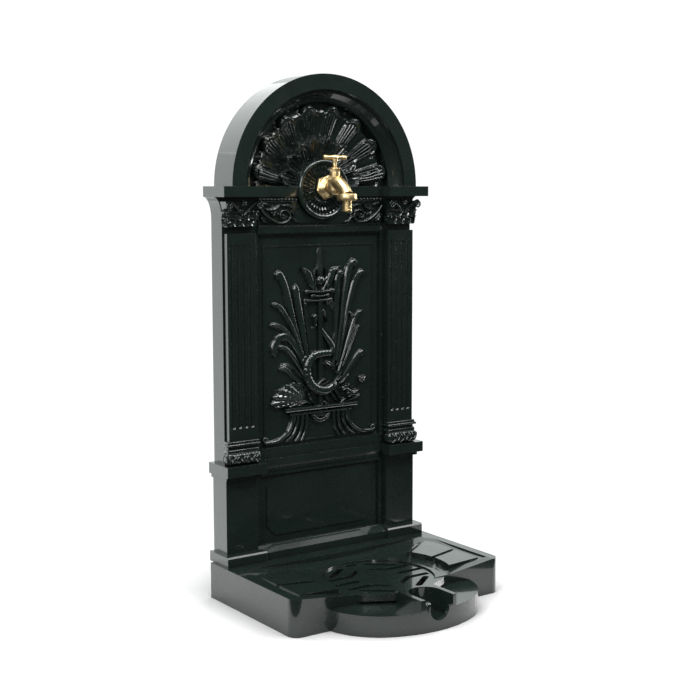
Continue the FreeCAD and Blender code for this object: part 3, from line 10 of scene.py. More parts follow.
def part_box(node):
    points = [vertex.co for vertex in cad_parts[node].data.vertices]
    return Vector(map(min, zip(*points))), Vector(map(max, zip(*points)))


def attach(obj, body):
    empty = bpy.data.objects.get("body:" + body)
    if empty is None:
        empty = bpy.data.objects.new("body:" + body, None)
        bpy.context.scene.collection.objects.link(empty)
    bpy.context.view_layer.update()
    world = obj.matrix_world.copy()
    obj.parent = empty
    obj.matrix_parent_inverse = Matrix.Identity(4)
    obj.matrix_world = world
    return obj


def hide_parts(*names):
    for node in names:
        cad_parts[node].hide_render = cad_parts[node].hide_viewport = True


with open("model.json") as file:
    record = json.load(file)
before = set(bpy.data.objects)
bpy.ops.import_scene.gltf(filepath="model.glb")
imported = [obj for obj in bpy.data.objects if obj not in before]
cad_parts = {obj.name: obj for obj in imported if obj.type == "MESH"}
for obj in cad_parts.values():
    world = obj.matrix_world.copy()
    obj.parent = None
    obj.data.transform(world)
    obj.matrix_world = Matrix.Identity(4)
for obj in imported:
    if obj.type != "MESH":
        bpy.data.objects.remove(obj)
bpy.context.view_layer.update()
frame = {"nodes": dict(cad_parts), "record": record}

bl_info = {
    "name": "Drinking Fountain",
    "version": (1, 0, 0),
    "blender": (4, 5, 0),
    "location": "3D View > Sidebar > Fountain",
    "description": "Builds the cast ornament, the brass tap and the finishes of a garden drinking fountain",
    "category": "Object",
}

MM = 0.001
LEAST_HALF_WIDTH = 0.15
LEAST_RADIUS = 0.05
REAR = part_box("column_casting")[1].y
CORNICE_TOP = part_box("shell_niche")[0].z / MM
TAP_AXIS = (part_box("rosette")[0].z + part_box("rosette")[1].z) / 2 / MM
FINISHES = {}


# ---------------------------------------------------------------- places and curves
def at(x, depth, z):
    """A point in millimetres, its depth measured forwards from the fountain's flat rear."""
    return Vector((x * MM, REAR - depth * MM, z * MM))


def smooth(low, high, value):
    """0 below low, 1 above high, and a smooth rise between them."""
    t = min(max((value - low) / (high - low), 0.0), 1.0)
    return t * t * (3 - 2 * t)


def bump(centre, half_width, value):
    """1 at the centre, falling smoothly to 0 at half_width on either side."""
    return 1 - smooth(0, half_width, abs(value - centre))


def along(points, t):
    """The point at t, from 0 to 1, on a smooth curve through the points."""
    spans = len(points) - 1
    place = min(max(t, 0.0), 1.0) * spans
    k = min(int(place), spans - 1)
    f = place - k
    p1, p2 = Vector(points[k]), Vector(points[k + 1])
    p0 = Vector(points[k - 1]) if k else 2 * p1 - p2
    p3 = Vector(points[k + 2]) if k + 2 <= spans else 2 * p2 - p1
    return 0.5 * (2 * p1 + (p2 - p0) * f + (2 * p0 - 5 * p1 + 4 * p2 - p3) * f ** 2
                  + (3 * p1 - p0 - 3 * p2 + p3) * f ** 3)


def heading(points, t):
    """The curve's direction at t."""
    step = 0.01
    way = along(points, min(t + step, 1)) - along(points, max(t - step, 0))
    return way.normalized()


# ---------------------------------------------------------------- shapes
def close_back(bm, faces, seat):
    """Gives a shaped front its sides down to the depth of its seat, and a back."""
    rim = [e for e in {e for f in faces for e in f.edges} if e.is_boundary]
    made = bmesh.ops.extrude_edge_only(bm, edges=rim)["geom"]
    for vert in (g for g in made if isinstance(g, bmesh.types.BMVert)):
        vert.co.y = REAR - seat * MM
    back = [g for g in made if isinstance(g, bmesh.types.BMEdge)]
    bmesh.ops.contextual_create(bm, geom=back)


def petal(half, stretch=0.85, root=0.15, fullness=0.7):
    """Half the width of a petal or small leaf, swelling from its root and closing at its tip."""
    return lambda t: half * math.sin(math.pi * min(t * stretch + root, 1.0)) ** fullness


def taper(half, loss):
    """Half the width of a member that narrows evenly along its length."""
    return lambda t: half * (1 - loss * t)


def rounded(height, softness=0.5):
    """A plain rounded back, as high as given along its middle."""
    return lambda t, s: height * max(1 - s * s, 0.0) ** softness


def leaf(bm, spine, half_width, lift, seat, steps=14, across=6):
    """A cast leaf or band: spine holds (x, z), half_width takes the place along it, lift the one across too."""
    made = bmesh.ops.create_grid(bm, x_segments=steps, y_segments=across, size=0.5)
    verts = made["verts"]
    faces = {f for v in verts for f in v.link_faces}
    for vert in verts:
        t, s = vert.co.x + 0.5, 2 * vert.co.y
        middle, way = along(spine, t), heading(spine, t)
        half = max(half_width(t), LEAST_HALF_WIDTH)
        vert.co = at(middle.x - way.y * half * s, seat + lift(t, s), middle.y + way.x * half * s)
    close_back(bm, faces, seat - 1.0)


def tube(bm, spine, radius, steps=24, sides=10, squash=1.0):
    """A round member along a curve of (x, depth, z), its radius given along it."""
    ring = bmesh.ops.create_circle(bm, cap_ends=True, radius=1, segments=sides)["verts"]
    edges = list({e for v in ring for e in v.link_edges})
    side = None
    for k in range(steps + 1):
        t = k / steps
        if k:
            made = bmesh.ops.extrude_edge_only(bm, edges=edges)["geom"]
            edges = [g for g in made if isinstance(g, bmesh.types.BMEdge)]
            ring = [g for g in made if isinstance(g, bmesh.types.BMVert)]
            # A new vertex still lies on the one it came from, which gives its place round the ring.
            ring.sort(key=lambda v: order[tuple(v.co)])
        middle = along(spine, t)
        way = heading(spine, t)
        side = way.cross(Vector((0, 1, 0))) if side is None else side - way * side.dot(way)
        if side.length < 1e-6:
            side = way.cross(Vector((1, 0, 0)))
        side.normalize()
        out = way.cross(side)
        for n, vert in enumerate(ring):
            angle = 2 * math.pi * n / sides
            spoke = side * math.cos(angle) + out * math.sin(angle) * squash
            vert.co = at(*(middle + spoke * max(radius(t), LEAST_RADIUS)))
        order = {tuple(v.co): n for n, v in enumerate(ring)}
    bmesh.ops.contextual_create(bm, geom=edges)


def turned(bm, profile, centre, axis, steps=48):
    """A lathe-turned shape: profile holds (radius, height) from end to end, in millimetres."""
    axis = Vector(axis)
    side = axis.orthogonal().normalized()
    verts = [bm.verts.new(centre + (side * max(r, 0.0) + axis * h) * MM) for r, h in profile]
    edges = [bm.edges.new(pair) for pair in zip(verts, verts[1:])]
    bmesh.ops.spin(bm, geom=verts + edges, cent=centre, axis=axis, angle=2 * math.pi, steps=steps,
                   use_merge=True)
    bmesh.ops.remove_doubles(bm, verts=list(bm.verts), dist=2e-6)


def ball(bm, centre, radius, flat=1.0, rings=10):
    """A ball, pressed flatter from front to back by flat."""
    made = bmesh.ops.create_uvsphere(bm, u_segments=2 * rings, v_segments=rings, radius=radius * MM)["verts"]
    bmesh.ops.scale(bm, vec=(1, flat, 1), verts=made)
    bmesh.ops.translate(bm, vec=centre, verts=made)
    return made


def stretched(bm, verts, scale, about):
    """Stretches what was made, about a place of its own."""
    bmesh.ops.scale(bm, vec=scale, verts=verts, space=Matrix.Translation(-about))


def mirrored(bm):
    """Adds the other half, across the fountain's middle."""
    bmesh.ops.mirror(bm, geom=bm.verts[:] + bm.edges[:] + bm.faces[:], axis="X", merge_dist=-1)


def finished(name, bm, finish, body="fountain", replaces=(), shade=35):
    """Makes the object, gives it its finish and hangs it on its body."""
    bmesh.ops.recalc_face_normals(bm, faces=bm.faces[:])
    mesh = bpy.data.meshes.new(name)
    bm.to_mesh(mesh)
    bm.free()
    piece = bpy.data.objects.new(name, mesh)
    bpy.context.scene.collection.objects.link(piece)
    mesh.materials.append(FINISHES[finish])
    mesh.shade_smooth()
    mesh.set_sharp_from_angle(angle=math.radians(shade))
    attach(piece, body)
    if replaces:
        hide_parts(*replaces)
    return piece


SLOTS = {"green paint": "green_paint", "painted casting": "green_paint", "polished brass": "brass",
         "zinc plate": "zinc_steel", "black rubber": "rubber", "dark casting": "pan_casting",
         "copper tube": "copper_pipe"}


# ---------------------------------------------------------------- finishes
class Surface:
    """A material being wired: every pattern reads the object's own coordinates."""

    def __init__(self, name):
        self.material = bpy.data.materials.new(name)
        self.material.use_nodes = True
        self.tree = self.material.node_tree
        self.shader = self.tree.nodes["Principled BSDF"]
        self.place = self.tree.nodes.new("ShaderNodeTexCoord").outputs["Object"]
        self.normal = None

    def node(self, kind, links=(), **values):
        made = self.tree.nodes.new(kind)
        for key, value in values.items():
            setattr(made, key, value)
        for socket, source in dict(links).items():
            if isinstance(source, bpy.types.NodeSocket):
                self.tree.links.new(source, made.inputs[socket])
            else:
                made.inputs[socket].default_value = source
        return made

    def noise(self, scale, detail=3.0, stretch=None):
        place = self.place
        if stretch:
            place = self.node("ShaderNodeMapping", {"Vector": place, "Scale": stretch}).outputs["Vector"]
        links = {"Vector": place, "Scale": scale, "Detail": detail}
        return self.node("ShaderNodeTexNoise", links).outputs["Fac"]

    def spread(self, value, low, high, least, most):
        links = {"Value": value, "From Min": low, "From Max": high, "To Min": least, "To Max": most}
        return self.node("ShaderNodeMapRange", links).outputs["Result"]

    def patches(self, scale, detail, low, high, least=0.0, most=1.0):
        """Soft-edged patches: least where the noise is below low, most where it is above high."""
        return self.spread(self.noise(scale, detail), low, high, least, most)

    def mixed(self, share, first, second):
        made = self.node("ShaderNodeMix", data_type="RGBA")
        for socket, source in ((made.inputs[0], share), (made.inputs[6], first), (made.inputs[7], second)):
            if isinstance(source, bpy.types.NodeSocket):
                self.tree.links.new(source, socket)
            else:
                socket.default_value = source
        return made.outputs[2]

    def product(self, first, second):
        return self.node("ShaderNodeMath", {0: first, 1: second}, operation="MULTIPLY").outputs[0]

    def recess(self, distance):
        """1 on open ground, falling towards 0 in corners and grooves."""
        return self.node("ShaderNodeAmbientOcclusion", {"Distance": distance}, samples=6).outputs["AO"]

    def rounded_edges(self, radius):
        self.normal = self.node("ShaderNodeBevel", {"Radius": radius}, samples=4).outputs["Normal"]

    def raised(self, height, distance, strength=1.0):
        links = {"Height": height, "Distance": distance, "Strength": strength}
        if self.normal:
            links["Normal"] = self.normal
        self.normal = self.node("ShaderNodeBump", links).outputs["Normal"]

    def wire(self, colour, roughness, metallic=0.0, coat=0.0, coat_roughness=0.1, level=0.5):
        shader = self.shader.inputs
        self.tree.links.new(colour, shader["Base Color"])
        self.tree.links.new(roughness, shader["Roughness"])
        if self.normal:
            self.tree.links.new(self.normal, shader["Normal"])
        shader["Metallic"].default_value = metallic
        shader["Coat Weight"].default_value = coat
        shader["Coat Roughness"].default_value = coat_roughness
        shader["Specular IOR Level"].default_value = level
        return self.material


def rgba(colour, share=1.0, added=0.0):
    """A colour for a socket, deepened or lightened from the one given."""
    return (*(c * share + added for c in colour), 1.0)


def green_paint(colour, name, edge=0.0):
    """Gloss enamel on a casting, darkened in its grooves and corners as painted shade, dusty in its grooves,
    rubbed in spots and, given an edge, soft at its corners.
    """
    s = Surface(name)
    tone = s.mixed(s.patches(7.0, 4.0, 0.35, 0.65), rgba(colour, 0.72), rgba(colour))
    open_ground = s.recess(0.012)
    # Painted shade: the enamel darkens to 0.45 of its colour where ambient occlusion finds grooves and corners.
    tone = s.mixed(s.spread(open_ground, 0.3, 0.95, 0.0, 1.0), rgba(colour, 0.45), tone)
    dust = s.product(s.spread(open_ground, 0.45, 0.8, 0.15, 0.0), s.patches(60.0, 6.0, 0.45, 0.75))
    tone = s.mixed(dust, tone, (0.035, 0.042, 0.036, 1))
    rubbed = s.product(s.patches(140.0, 6.0, 0.6, 0.75), s.patches(19.0, 3.0, 0.5, 0.7, 0.0, 0.3))
    tone = s.mixed(rubbed, tone, rgba(colour, 1.9, 0.006))
    gloss = s.patches(38.0, 5.0, 0.3, 0.7, 0.22, 0.32)
    if edge:
        s.rounded_edges(edge)
        s.raised(s.noise(26.0, 2.0), 0.0011, 0.25)
    s.raised(s.noise(230.0, 3.0), 0.0002, 0.10)
    s.raised(s.noise(900.0, 2.0), 0.00006, 0.2)
    return s.wire(tone, gloss, coat=1.0, coat_roughness=0.06, level=0.22)


def polished_brass(colour, name):
    """Machined and tumbled brass with fine marks and a little brown in the corners."""
    s = Surface(name)
    tone = s.mixed(s.patches(55.0, 5.0, 0.35, 0.7), rgba(colour), rgba(colour, 0.78))
    corner = s.spread(s.recess(0.006), 0.35, 0.9, 0.8, 0.0)
    tone = s.mixed(corner, tone, (0.16, 0.075, 0.018, 1))
    gloss = s.patches(160.0, 6.0, 0.3, 0.75, 0.30, 0.46)
    s.rounded_edges(0.0006)
    s.raised(s.noise(170.0, 3.0), 0.0004, 0.30)
    s.raised(s.noise(1500.0, 2.0, (1, 1, 0.2)), 0.00008, 0.2)
    return s.wire(tone, gloss, metallic=1.0)


def plain_metal(colour, name, rough, metallic=1.0, grain=400.0):
    """Plated or drawn metal, the pan's raw casting and the rubber seals."""
    s = Surface(name)
    tone = s.mixed(s.patches(90.0, 5.0, 0.35, 0.7), rgba(colour), rgba(colour, 0.6))
    gloss = s.patches(130.0, 4.0, 0.3, 0.7, rough * 0.75, rough * 1.25)
    s.rounded_edges(0.0005)
    s.raised(s.noise(grain, 3.0), 0.0002, 0.3)
    return s.wire(tone, gloss, metallic=metallic)


class FountainFinish(bpy.types.PropertyGroup):
    paint: FloatVectorProperty(name="Paint", description="Colour of the enamel", subtype="COLOR", size=3,
                               min=0, max=1, default=(0.0084, 0.0152, 0.0128))
    brass: FloatVectorProperty(name="Brass", description="Colour of the tap", subtype="COLOR", size=3,
                               min=0, max=1, default=(0.84, 0.64, 0.33))
    steel: FloatVectorProperty(name="Plated steel", description="Colour of the bolts and screws",
                               subtype="COLOR", size=3, min=0, max=1, default=(0.55, 0.56, 0.56))


class FOUNTAIN_OT_finishes(bpy.types.Operator):
    """Make the enamel, brass and fastener finishes and lay them on the parts that keep their cast shape"""

    bl_idname = "fountain.finishes"
    bl_label = "Finishes"

    def execute(self, context):
        chosen = context.scene.fountain_finish
        FINISHES["green paint"] = green_paint(chosen.paint, "green paint")
        FINISHES["painted casting"] = green_paint(chosen.paint, "painted casting", 0.0009)
        FINISHES["polished brass"] = polished_brass(chosen.brass, "polished brass")
        FINISHES["zinc plate"] = plain_metal(chosen.steel, "zinc plate", 0.35)
        FINISHES["black rubber"] = plain_metal((0.02, 0.02, 0.02), "black rubber", 0.6, 0.0)
        FINISHES["dark casting"] = plain_metal((0.03, 0.032, 0.03), "dark casting", 0.5, 0.3, 260.0)
        FINISHES["copper tube"] = plain_metal((0.62, 0.27, 0.15), "copper tube", 0.3)
        by_slot = {slot: finish for finish, slot in SLOTS.items()}
        slots = {node["node"]: node["material_slot"] for node in frame["record"]["subparts"]}
        for name, node in frame["nodes"].items():
            node.data.materials.clear()
            node.data.materials.append(FINISHES[by_slot[slots[name]]])
        return {"FINISHED"}


# ---------------------------------------------------------------- shell
class FountainShell(bpy.types.PropertyGroup):
    lobes: IntProperty(name="Lobes", description="Ribbed lobes round the shell", default=8, min=4, max=14)
    ridges: IntProperty(name="Ridges", description="Fine ridges on each lobe", default=5, min=2, max=8)
    flutes: IntProperty(name="Inner flutes", description="Fine flutes in the bowl", default=34,
                        min=12, max=60)


class FOUNTAIN_OT_shell(bpy.types.Operator):
    """Model the two-tier shell in the arch: a ruffled bowl in front of a ring of ribbed lobes"""

    bl_idname = "fountain.shell"
    bl_label = "Shell"

    def execute(self, context):
        plan = context.scene.fountain_shell
        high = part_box("shell_niche")[1]
        edge = high.x / MM
        seat = (REAR - high.y) / MM
        pitch = math.pi / plan.lobes
        eye, bowl, lip = 30, 0.40, 0.48

        def lobe(angle):
            return (angle / pitch) % 1.0 - 0.5

        def bowl_edge(angle):
            return 93 + 7 * math.cos(2 * math.pi * lobe(angle)) + 2.2 * math.cos(6 * math.pi * lobe(angle))

        def outer_edge(angle):
            place = lobe(angle)
            return edge - 11 + 6.5 * math.cos(2 * math.pi * place) - 4.5 * bump(0.29, 0.09, abs(place))

        bm = bmesh.new()
        made = bmesh.ops.create_grid(bm, x_segments=640, y_segments=88, size=0.5)
        faces = bm.faces[:]
        for vert in made["verts"]:
            angle = math.pi * (vert.co.x + 0.5)
            v = vert.co.y + 0.5
            place = lobe(angle)
            wide = bowl_edge(angle)
            if v < bowl:
                t = v / bowl
                r = eye + (wide - eye) * t
                depth = seat + 5 + 19 * t ** 2.2
                depth += 2.2 * smooth(0.1, 0.5, t) * (abs(math.cos(angle * plan.flutes)) - 0.6)
                depth += 2.6 * smooth(0.6, 1.0, t) * math.cos(4 * math.pi * place)
                depth += 1.6 * bump(0.97, 0.06, t)
            elif v < lip:
                t = (v - bowl) / (lip - bowl)
                r = wide + 1.6 * math.sin(math.pi * t) + 0.4 * t
                depth = seat + 24 + 2.6 * math.cos(4 * math.pi * place) - 18 * smooth(0, 1, t)
            else:
                t = (v - lip) / (1 - lip)
                out = outer_edge(angle)
                r = wide + 0.4 + (out - wide - 0.4) * t
                ribbed = 1 - smooth(0.26, 0.34, abs(place))
                depth = seat + 4 + 13 * t ** 1.25
                crown = math.cos(math.pi * min(abs(place) / 0.34, 1) / 2) if abs(place) < 0.34 else 0.0
                depth += 7.0 * crown * (0.4 + 0.6 * t)
                ridge = abs(math.cos(math.pi * plan.ridges * place / 0.6))
                depth += 3.8 * ribbed * (ridge - 0.6) * smooth(0.0, 0.1, t) * (1 - smooth(0.70, 0.80, t))
                depth -= 3.6 * (1 - ribbed) * math.sin(math.pi * t)
                depth += 3.4 * bump(0.90, 0.10, t) * (0.35 + 0.65 * ribbed)
                depth -= 2.5 * smooth(0.95, 1.0, t)
            vert.co = at(r * math.cos(angle), depth, CORNICE_TOP + max(r * math.sin(angle), 0.0))
        close_back(bm, faces, seat + 1.5)
        plate = bmesh.ops.create_circle(bm, cap_ends=True, radius=edge * MM, segments=144)["verts"]
        bmesh.ops.rotate(bm, verts=plate, cent=(0, 0, 0), matrix=Matrix.Rotation(math.radians(90), 3, "X"))
        bmesh.ops.translate(bm, verts=plate, vec=at(0, seat + 3, CORNICE_TOP))
        sheet = list({f for v in plate for f in v.link_faces})
        rim = list({e for v in plate for e in v.link_edges})
        bmesh.ops.bisect_plane(bm, geom=plate + rim + sheet, plane_co=at(0, 0, CORNICE_TOP),
                               plane_no=(0, 0, -1), clear_outer=True)
        close_back(bm, [f for f in bm.faces if len(f.verts) > 20], seat)
        for side in (-1, 1):
            self.scroll_end(bm, side, seat)
        finished("shell_fan", bm, "green paint", replaces=("shell_niche",), shade=50)
        return {"FINISHED"}

    def scroll_end(self, bm, side, seat):
        """The rolled and ribbed foot of the shell, with a curled end."""
        core = ((98, 7, 14), (118, 9, 17), (136, 11, 22), (150, 12.5, 25))
        for k in range(5):
            angle = math.pi * (0.08 + 0.2 * k)
            rib = [(side * x, seat + 8 + (r + 4) * math.sin(angle), CORNICE_TOP + z + r * math.cos(angle))
                   for x, r, z in core]
            tube(bm, rib, lambda t: 2.6 + 0.5 * t, 22, 9)
        middle = at(side * 124, seat + 10, CORNICE_TOP + 17)
        stretched(bm, ball(bm, middle, 12, 0.8, 12), (2.2, 1, 0.95), middle)
        curl = [(0, -6), (9, -6), (13, -4), (14.5, 0), (13, 3.5), (10, 4.5), (8.5, 3.0), (7, 3.4), (4, 5.6),
                (0, 6.2)]
        turned(bm, curl, at(side * 149, seat + 12, CORNICE_TOP + 26), (side * 0.8, -0.55, 0.1), 36)


class FOUNTAIN_OT_rosette(bpy.types.Operator):
    """Model the round rosette behind the tap: a smooth rim and two rings of narrow leaves"""

    bl_idname = "fountain.rosette"
    bl_label = "Rosette"

    def execute(self, context):
        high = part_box("rosette")[1]
        centre = TAP_AXIS
        seat = (REAR - high.y) / MM
        radius = high.x / MM
        bm = bmesh.new()
        profile = [(15, 0), (15, 5), (20, 6.0), (26, 5.0), (29, 4.2), (47, 3.0), (50, 4.6), (53, 7.4),
                   (56, 8.4), (58.6, 7.4), (radius, 5.0), (radius, 0), (15, 0)]
        turned(bm, profile, at(0, seat, centre), (0, -1, 0), 96)
        rings = ((30, 21, 36, 2.4, 5.6), (36, 33, 51.5, 3.0, 5.4))
        for count, inner, outer, half, lift in rings:
            for k in range(count):
                angle = 2 * math.pi * (k + 0.5 * (inner > 30)) / count
                spine = [(r * math.cos(angle), centre + r * math.sin(angle))
                         for r in (inner, (inner + outer) / 2, outer)]
                leaf(bm, spine, self.narrow_leaf(half), self.ridge(lift), seat, 7, 4)
        finished("rosette_leaves", bm, "green paint", replaces=("rosette",), shade=45)
        return {"FINISHED"}

    def narrow_leaf(self, half):
        """Half the width of a leaf with a blunt outer end."""
        return lambda t: half * (0.55 + 0.6 * math.sin(math.pi * t ** 0.8)) * (1 - 0.7 * t ** 6)

    def ridge(self, height):
        """The leaf's sharp back, rising outwards from the flange."""
        return lambda t, s: 2.6 + height * (1 - abs(s)) ** 0.8 * (0.35 + 0.65 * smooth(0.0, 0.6, t))


# ---------------------------------------------------------------- relief panel
def blade(height, groove=1.3, tip=2.5):
    """The swell of a reed leaf: two rounded sides, a groove between them and a lifted tip."""
    def lift(t, s):
        side = max(1 - s * s, 0.0) ** 0.55
        return height * side * (0.55 + 0.45 * smooth(0.0, 0.25, t)) + tip * bump(0.08, 0.12, t) * side \
            - groove * bump(0, 0.3, s) * smooth(0.02, 0.12, t)
    return lift


def reed(widest, top=0.12):
    """Half the width of a reed leaf from its blunt tip down to its thin root."""
    return lambda t: 1.25 * widest * (smooth(-0.02, top, t) ** 0.6) * (1 - 0.5 * smooth(0.35, 1.0, t))


REEDS_LEFT = (
    (7.5, 7.5, ((-104, 634), (-97, 643), (-84, 618), (-72, 575), (-61, 535), (-47, 490), (-34, 440))),
    (7.5, 9.0, ((-60, 624), (-57, 600), (-50, 562), (-42, 522), (-34, 480), (-26, 440))),
    (5.0, 8.0, ((-117, 585), (-97, 578), (-77, 551), (-62, 522), (-47, 487), (-34, 450))),
    (5.0, 6.5, ((-121, 543), (-100, 540), (-80, 526), (-60, 503), (-44, 474), (-32, 445))),
    (8.0, 7.0, ((-108, 478), (-110, 497), (-97, 515), (-80, 516), (-62, 498), (-46, 470), (-34, 440))),
    (5.0, 8.0, ((-104, 499), (-84, 493), (-66, 475), (-50, 450), (-36, 425))),
    (5.0, 6.0, ((-101, 453), (-84, 451), (-66, 435), (-49, 420), (-34, 408))),
    (4.5, 5.0, ((-36, 592), (-34, 560), (-29, 520), (-24, 480), (-18, 440))),
    (4.0, 4.5, ((-100, 456), (-80, 459), (-62, 450), (-44, 430))),
    (4.5, 4.5, ((-76, 588), (-70, 560), (-58, 520), (-44, 470))),
)
REEDS_RIGHT = (
    (6.5, 7.5, ((55, 633), (50, 641), (43, 628), (42, 600), (41, 560), (38, 510), (32, 450))),
    (7.0, 9.0, ((90, 653), (84, 663), (70, 648), (63, 612), (57, 575), (50, 530), (38, 460))),
    (7.0, 8.0, ((110, 634), (103, 640), (87, 622), (76, 592), (66, 560), (55, 510), (42, 450))),
    (5.5, 6.0, ((14, 584), (27, 580), (38, 562), (40, 535), (34, 505))),
    (5.0, 7.0, ((106, 562), (92, 551), (83, 535), (70, 503), (56, 468), (42, 435))),
    (4.0, 6.0, ((72, 560), (82, 551), (88, 541), (82, 520), (68, 488), (52, 455))),
    (6.5, 7.5, ((110, 471), (100, 470), (82, 452), (62, 430), (38, 405))),
    (4.0, 5.0, ((64, 544), (57, 525), (52, 500), (44, 470))),
    (4.5, 5.0, ((98, 531), (88, 512), (74, 482), (56, 448))),
)
DOLPHIN = ((-4, 0, 552), (2, 2, 530), (14, 4, 512), (27, 5, 494), (25, 6, 479), (4, 6, 478), (-18, 6, 474),
           (-33, 6, 456), (-33, 7, 430), (-18, 8, 409), (6, 8, 401), (26, 8, 407), (38, 7, 420))
SCALLOP_EDGE = ((-44, 374), (-80, 373), (-116, 378), (-115, 395), (-98, 412), (-76, 421), (-54, 421),
                (-38, 407))
FLOWERS = ((78, 392, 7, 15, 0.2), (60, 404, 6, 11, 0.6), (96, 421, 3, 15, -0.5))
SPRAYS = (((4, 396), (16, 384), (30, 368)), ((20, 402), (32, 386), (46, 370)),
          ((34, 404), (42, 390), (52, 372)), ((62, 380), (54, 374), (46, 370)),
          ((-4, 380), (14, 374), (32, 368)), ((-30, 398), (-24, 384), (-16, 372)),
          ((100, 384), (84, 378), (66, 372)), ((40, 410), (58, 418), (74, 440)),
          ((-50, 376), (-34, 380), (-20, 372)))
FEET = ((7.5, 9.0, ((66, 360), (68, 342), (80, 320), (104, 306), (134, 304))),
        (5.5, 8.0, ((56, 360), (57, 338), (67, 316), (84, 302))),
        (5.5, 8.0, ((45, 360), (45, 338), (51, 316), (62, 301))),
        (5.0, 7.0, ((34, 360), (34, 338), (38, 318), (47, 301))))


class FOUNTAIN_OT_relief(bpy.types.Operator):
    """Model the panel's relief: reeds, a trident and dolphin, a scallop and flowers on a scrolled stand"""

    bl_idname = "fountain.relief"
    bl_label = "Relief"

    def execute(self, context):
        seat = (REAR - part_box("lower_panel")[0].y) / MM - 2.0
        self.reeds(seat)
        self.trident(seat)
        self.dolphin(seat)
        self.still_life(seat)
        self.stand(seat)
        return {"FINISHED"}

    def reeds(self, seat):
        bm = bmesh.new()
        for widest, height, spine in REEDS_LEFT + REEDS_RIGHT:
            leaf(bm, spine, reed(widest), blade(height), seat, 34, 10)
        finished("relief_reeds", bm, "green paint", shade=60)

    def trident(self, seat):
        bm = bmesh.new()
        leaf(bm, ((0, 636), (0, 655), (-1, 675), (-1, 695)),
             lambda t: 13 * (1 - t) ** 0.8 * smooth(-0.2, 0.25, t) + 2.6 * smooth(0.5, 0.9, t),
             lambda t, s: 9 * (1 - abs(s)) ** 0.8 + 1.5, seat, 20, 8)
        for side in (-1, 1):
            leaf(bm, [(side * x, z) for x, z in ((10, 606), (22, 626), (31, 645), (48, 656))],
                 petal(9.5, 0.9, 0.12), blade(9, 1.5, 0), seat, 22, 10)
            leaf(bm, [(side * x, z) for x, z in ((8, 622), (15, 634), (14, 648), (9, 655))],
                 taper(4.2, 0.7), blade(8, 0.8, 0), seat, 12, 8)
        ball(bm, at(0, seat + 4, 628), 10, 0.8)
        for z, x0, x1, half in ((606, -34, 30, 4.0), (588, -38, 24, 3.6), (597, -20, 18, 3.4)):
            leaf(bm, ((x0, z + 1), ((x0 + x1) / 2, z - 1), (x1, z + 1)),
                 lambda t, half=half: half * (0.7 + 0.5 * abs(2 * t - 1) ** 3),
                 lambda t, s: 9.5 * (1 - s ** 4), seat, 16, 8)
            for x in (x0, x1):
                ball(bm, at(x, seat + 5, z), half + 0.8, 0.9, 8)
        tube(bm, [(0, seat + 3, z) for z in (590, 500, 372)], lambda t: 5.0 - 0.8 * math.sin(math.pi * t),
             20, 14, 0.9)
        for x in (-2.6, 2.6):
            tube(bm, [(x, seat + 6.5, z) for z in (586, 480, 374)], lambda t: 1.2, 8, 8)
        finished("relief_trident", bm, "green paint", shade=55)

    def dolphin(self, seat):
        bm = bmesh.new()
        spine = [(x, seat + depth, z) for x, depth, z in DOLPHIN]
        thick = ((0.0, 2.2), (0.12, 4.5), (0.3, 6.8), (0.55, 9.0), (0.8, 9.8), (0.92, 8.5), (1.0, 3.0))

        def girth(t):
            for (t0, r0), (t1, r1) in zip(thick, thick[1:]):
                if t <= t1:
                    return r0 + (r1 - r0) * smooth(t0, t1, t)
            return thick[-1][1]

        def scaly(t):
            """The girth with its fine rings, which leave the tail and the head plain."""
            scales = math.cos(2 * math.pi * 34 * t) * smooth(0.25, 0.4, t) * (1 - smooth(0.75, 0.85, t))
            return girth(t) * (1 + 0.05 * scales)

        tube(bm, spine, scaly, 150, 22, 0.85)
        flukes = ((-6, 548), (-14, 556), (-12, 540), (-16, 530)), ((0, 548), (4, 566), (12, 556), (17, 541))
        for fluke in flukes:
            leaf(bm, fluke, petal(5.5, 1.0, 0.15, 0.8), blade(8, 1.0, 0), seat, 16, 8)
        leaf(bm, ((4, 462), (16, 458), (28, 450), (42, 436)), petal(6.5, fullness=0.8),
             lambda t, s: rounded(10)(t, s) - 2.2 * bump(0, 0.35, s), seat, 20, 12)
        back_fin = ((-26, 470), (-36, 474), (-44, 466), (-43, 452))
        leaf(bm, back_fin, taper(4.5, 0.6), blade(8, 1, 0), seat, 14, 8)
        side_fin = ((-12, 408), (-4, 418), (8, 424), (14, 420))
        leaf(bm, side_fin, taper(4.2, 0.5), blade(10, 1, 0), seat, 14, 8)
        for side in (-1, 1):
            jaw = ((34, 418), (42, 424 + 3 * side), (49, 432 + 5 * side))
            leaf(bm, jaw, taper(3.6, 0.4), rounded(10), seat, 10, 8)
        ball(bm, at(28, seat + 15, 413), 2.3, 1.0, 8)
        finished("relief_dolphin", bm, "green paint", shade=60)

    def scallop(self, seat):
        bm = bmesh.new()
        made = bmesh.ops.create_grid(bm, x_segments=72, y_segments=22, size=0.5)
        faces = bm.faces[:]
        hinge = Vector((-40, 388))
        for vert in made["verts"]:
            a, r = vert.co.x + 0.5, vert.co.y + 0.5
            rib = math.cos(2 * math.pi * 9 * a)
            flare = 1 + 0.03 * rib if r > 0.9 else 1
            place = hinge + (along(SCALLOP_EDGE, a) - hinge) * (0.06 + 0.94 * r) * flare
            dome = math.sin(math.pi * min(max(a, 0.02), 0.98)) ** 0.5
            depth = 2 + 9 * dome * (1 - (r - 0.45) ** 2 * 1.7) + 1.6 * r * rib + 0.5 * math.cos(40 * r)
            vert.co = at(place.x, seat + max(depth, 0.5), place.y)
        close_back(bm, faces, seat - 1)
        finished("relief_scallop", bm, "green paint", shade=60)

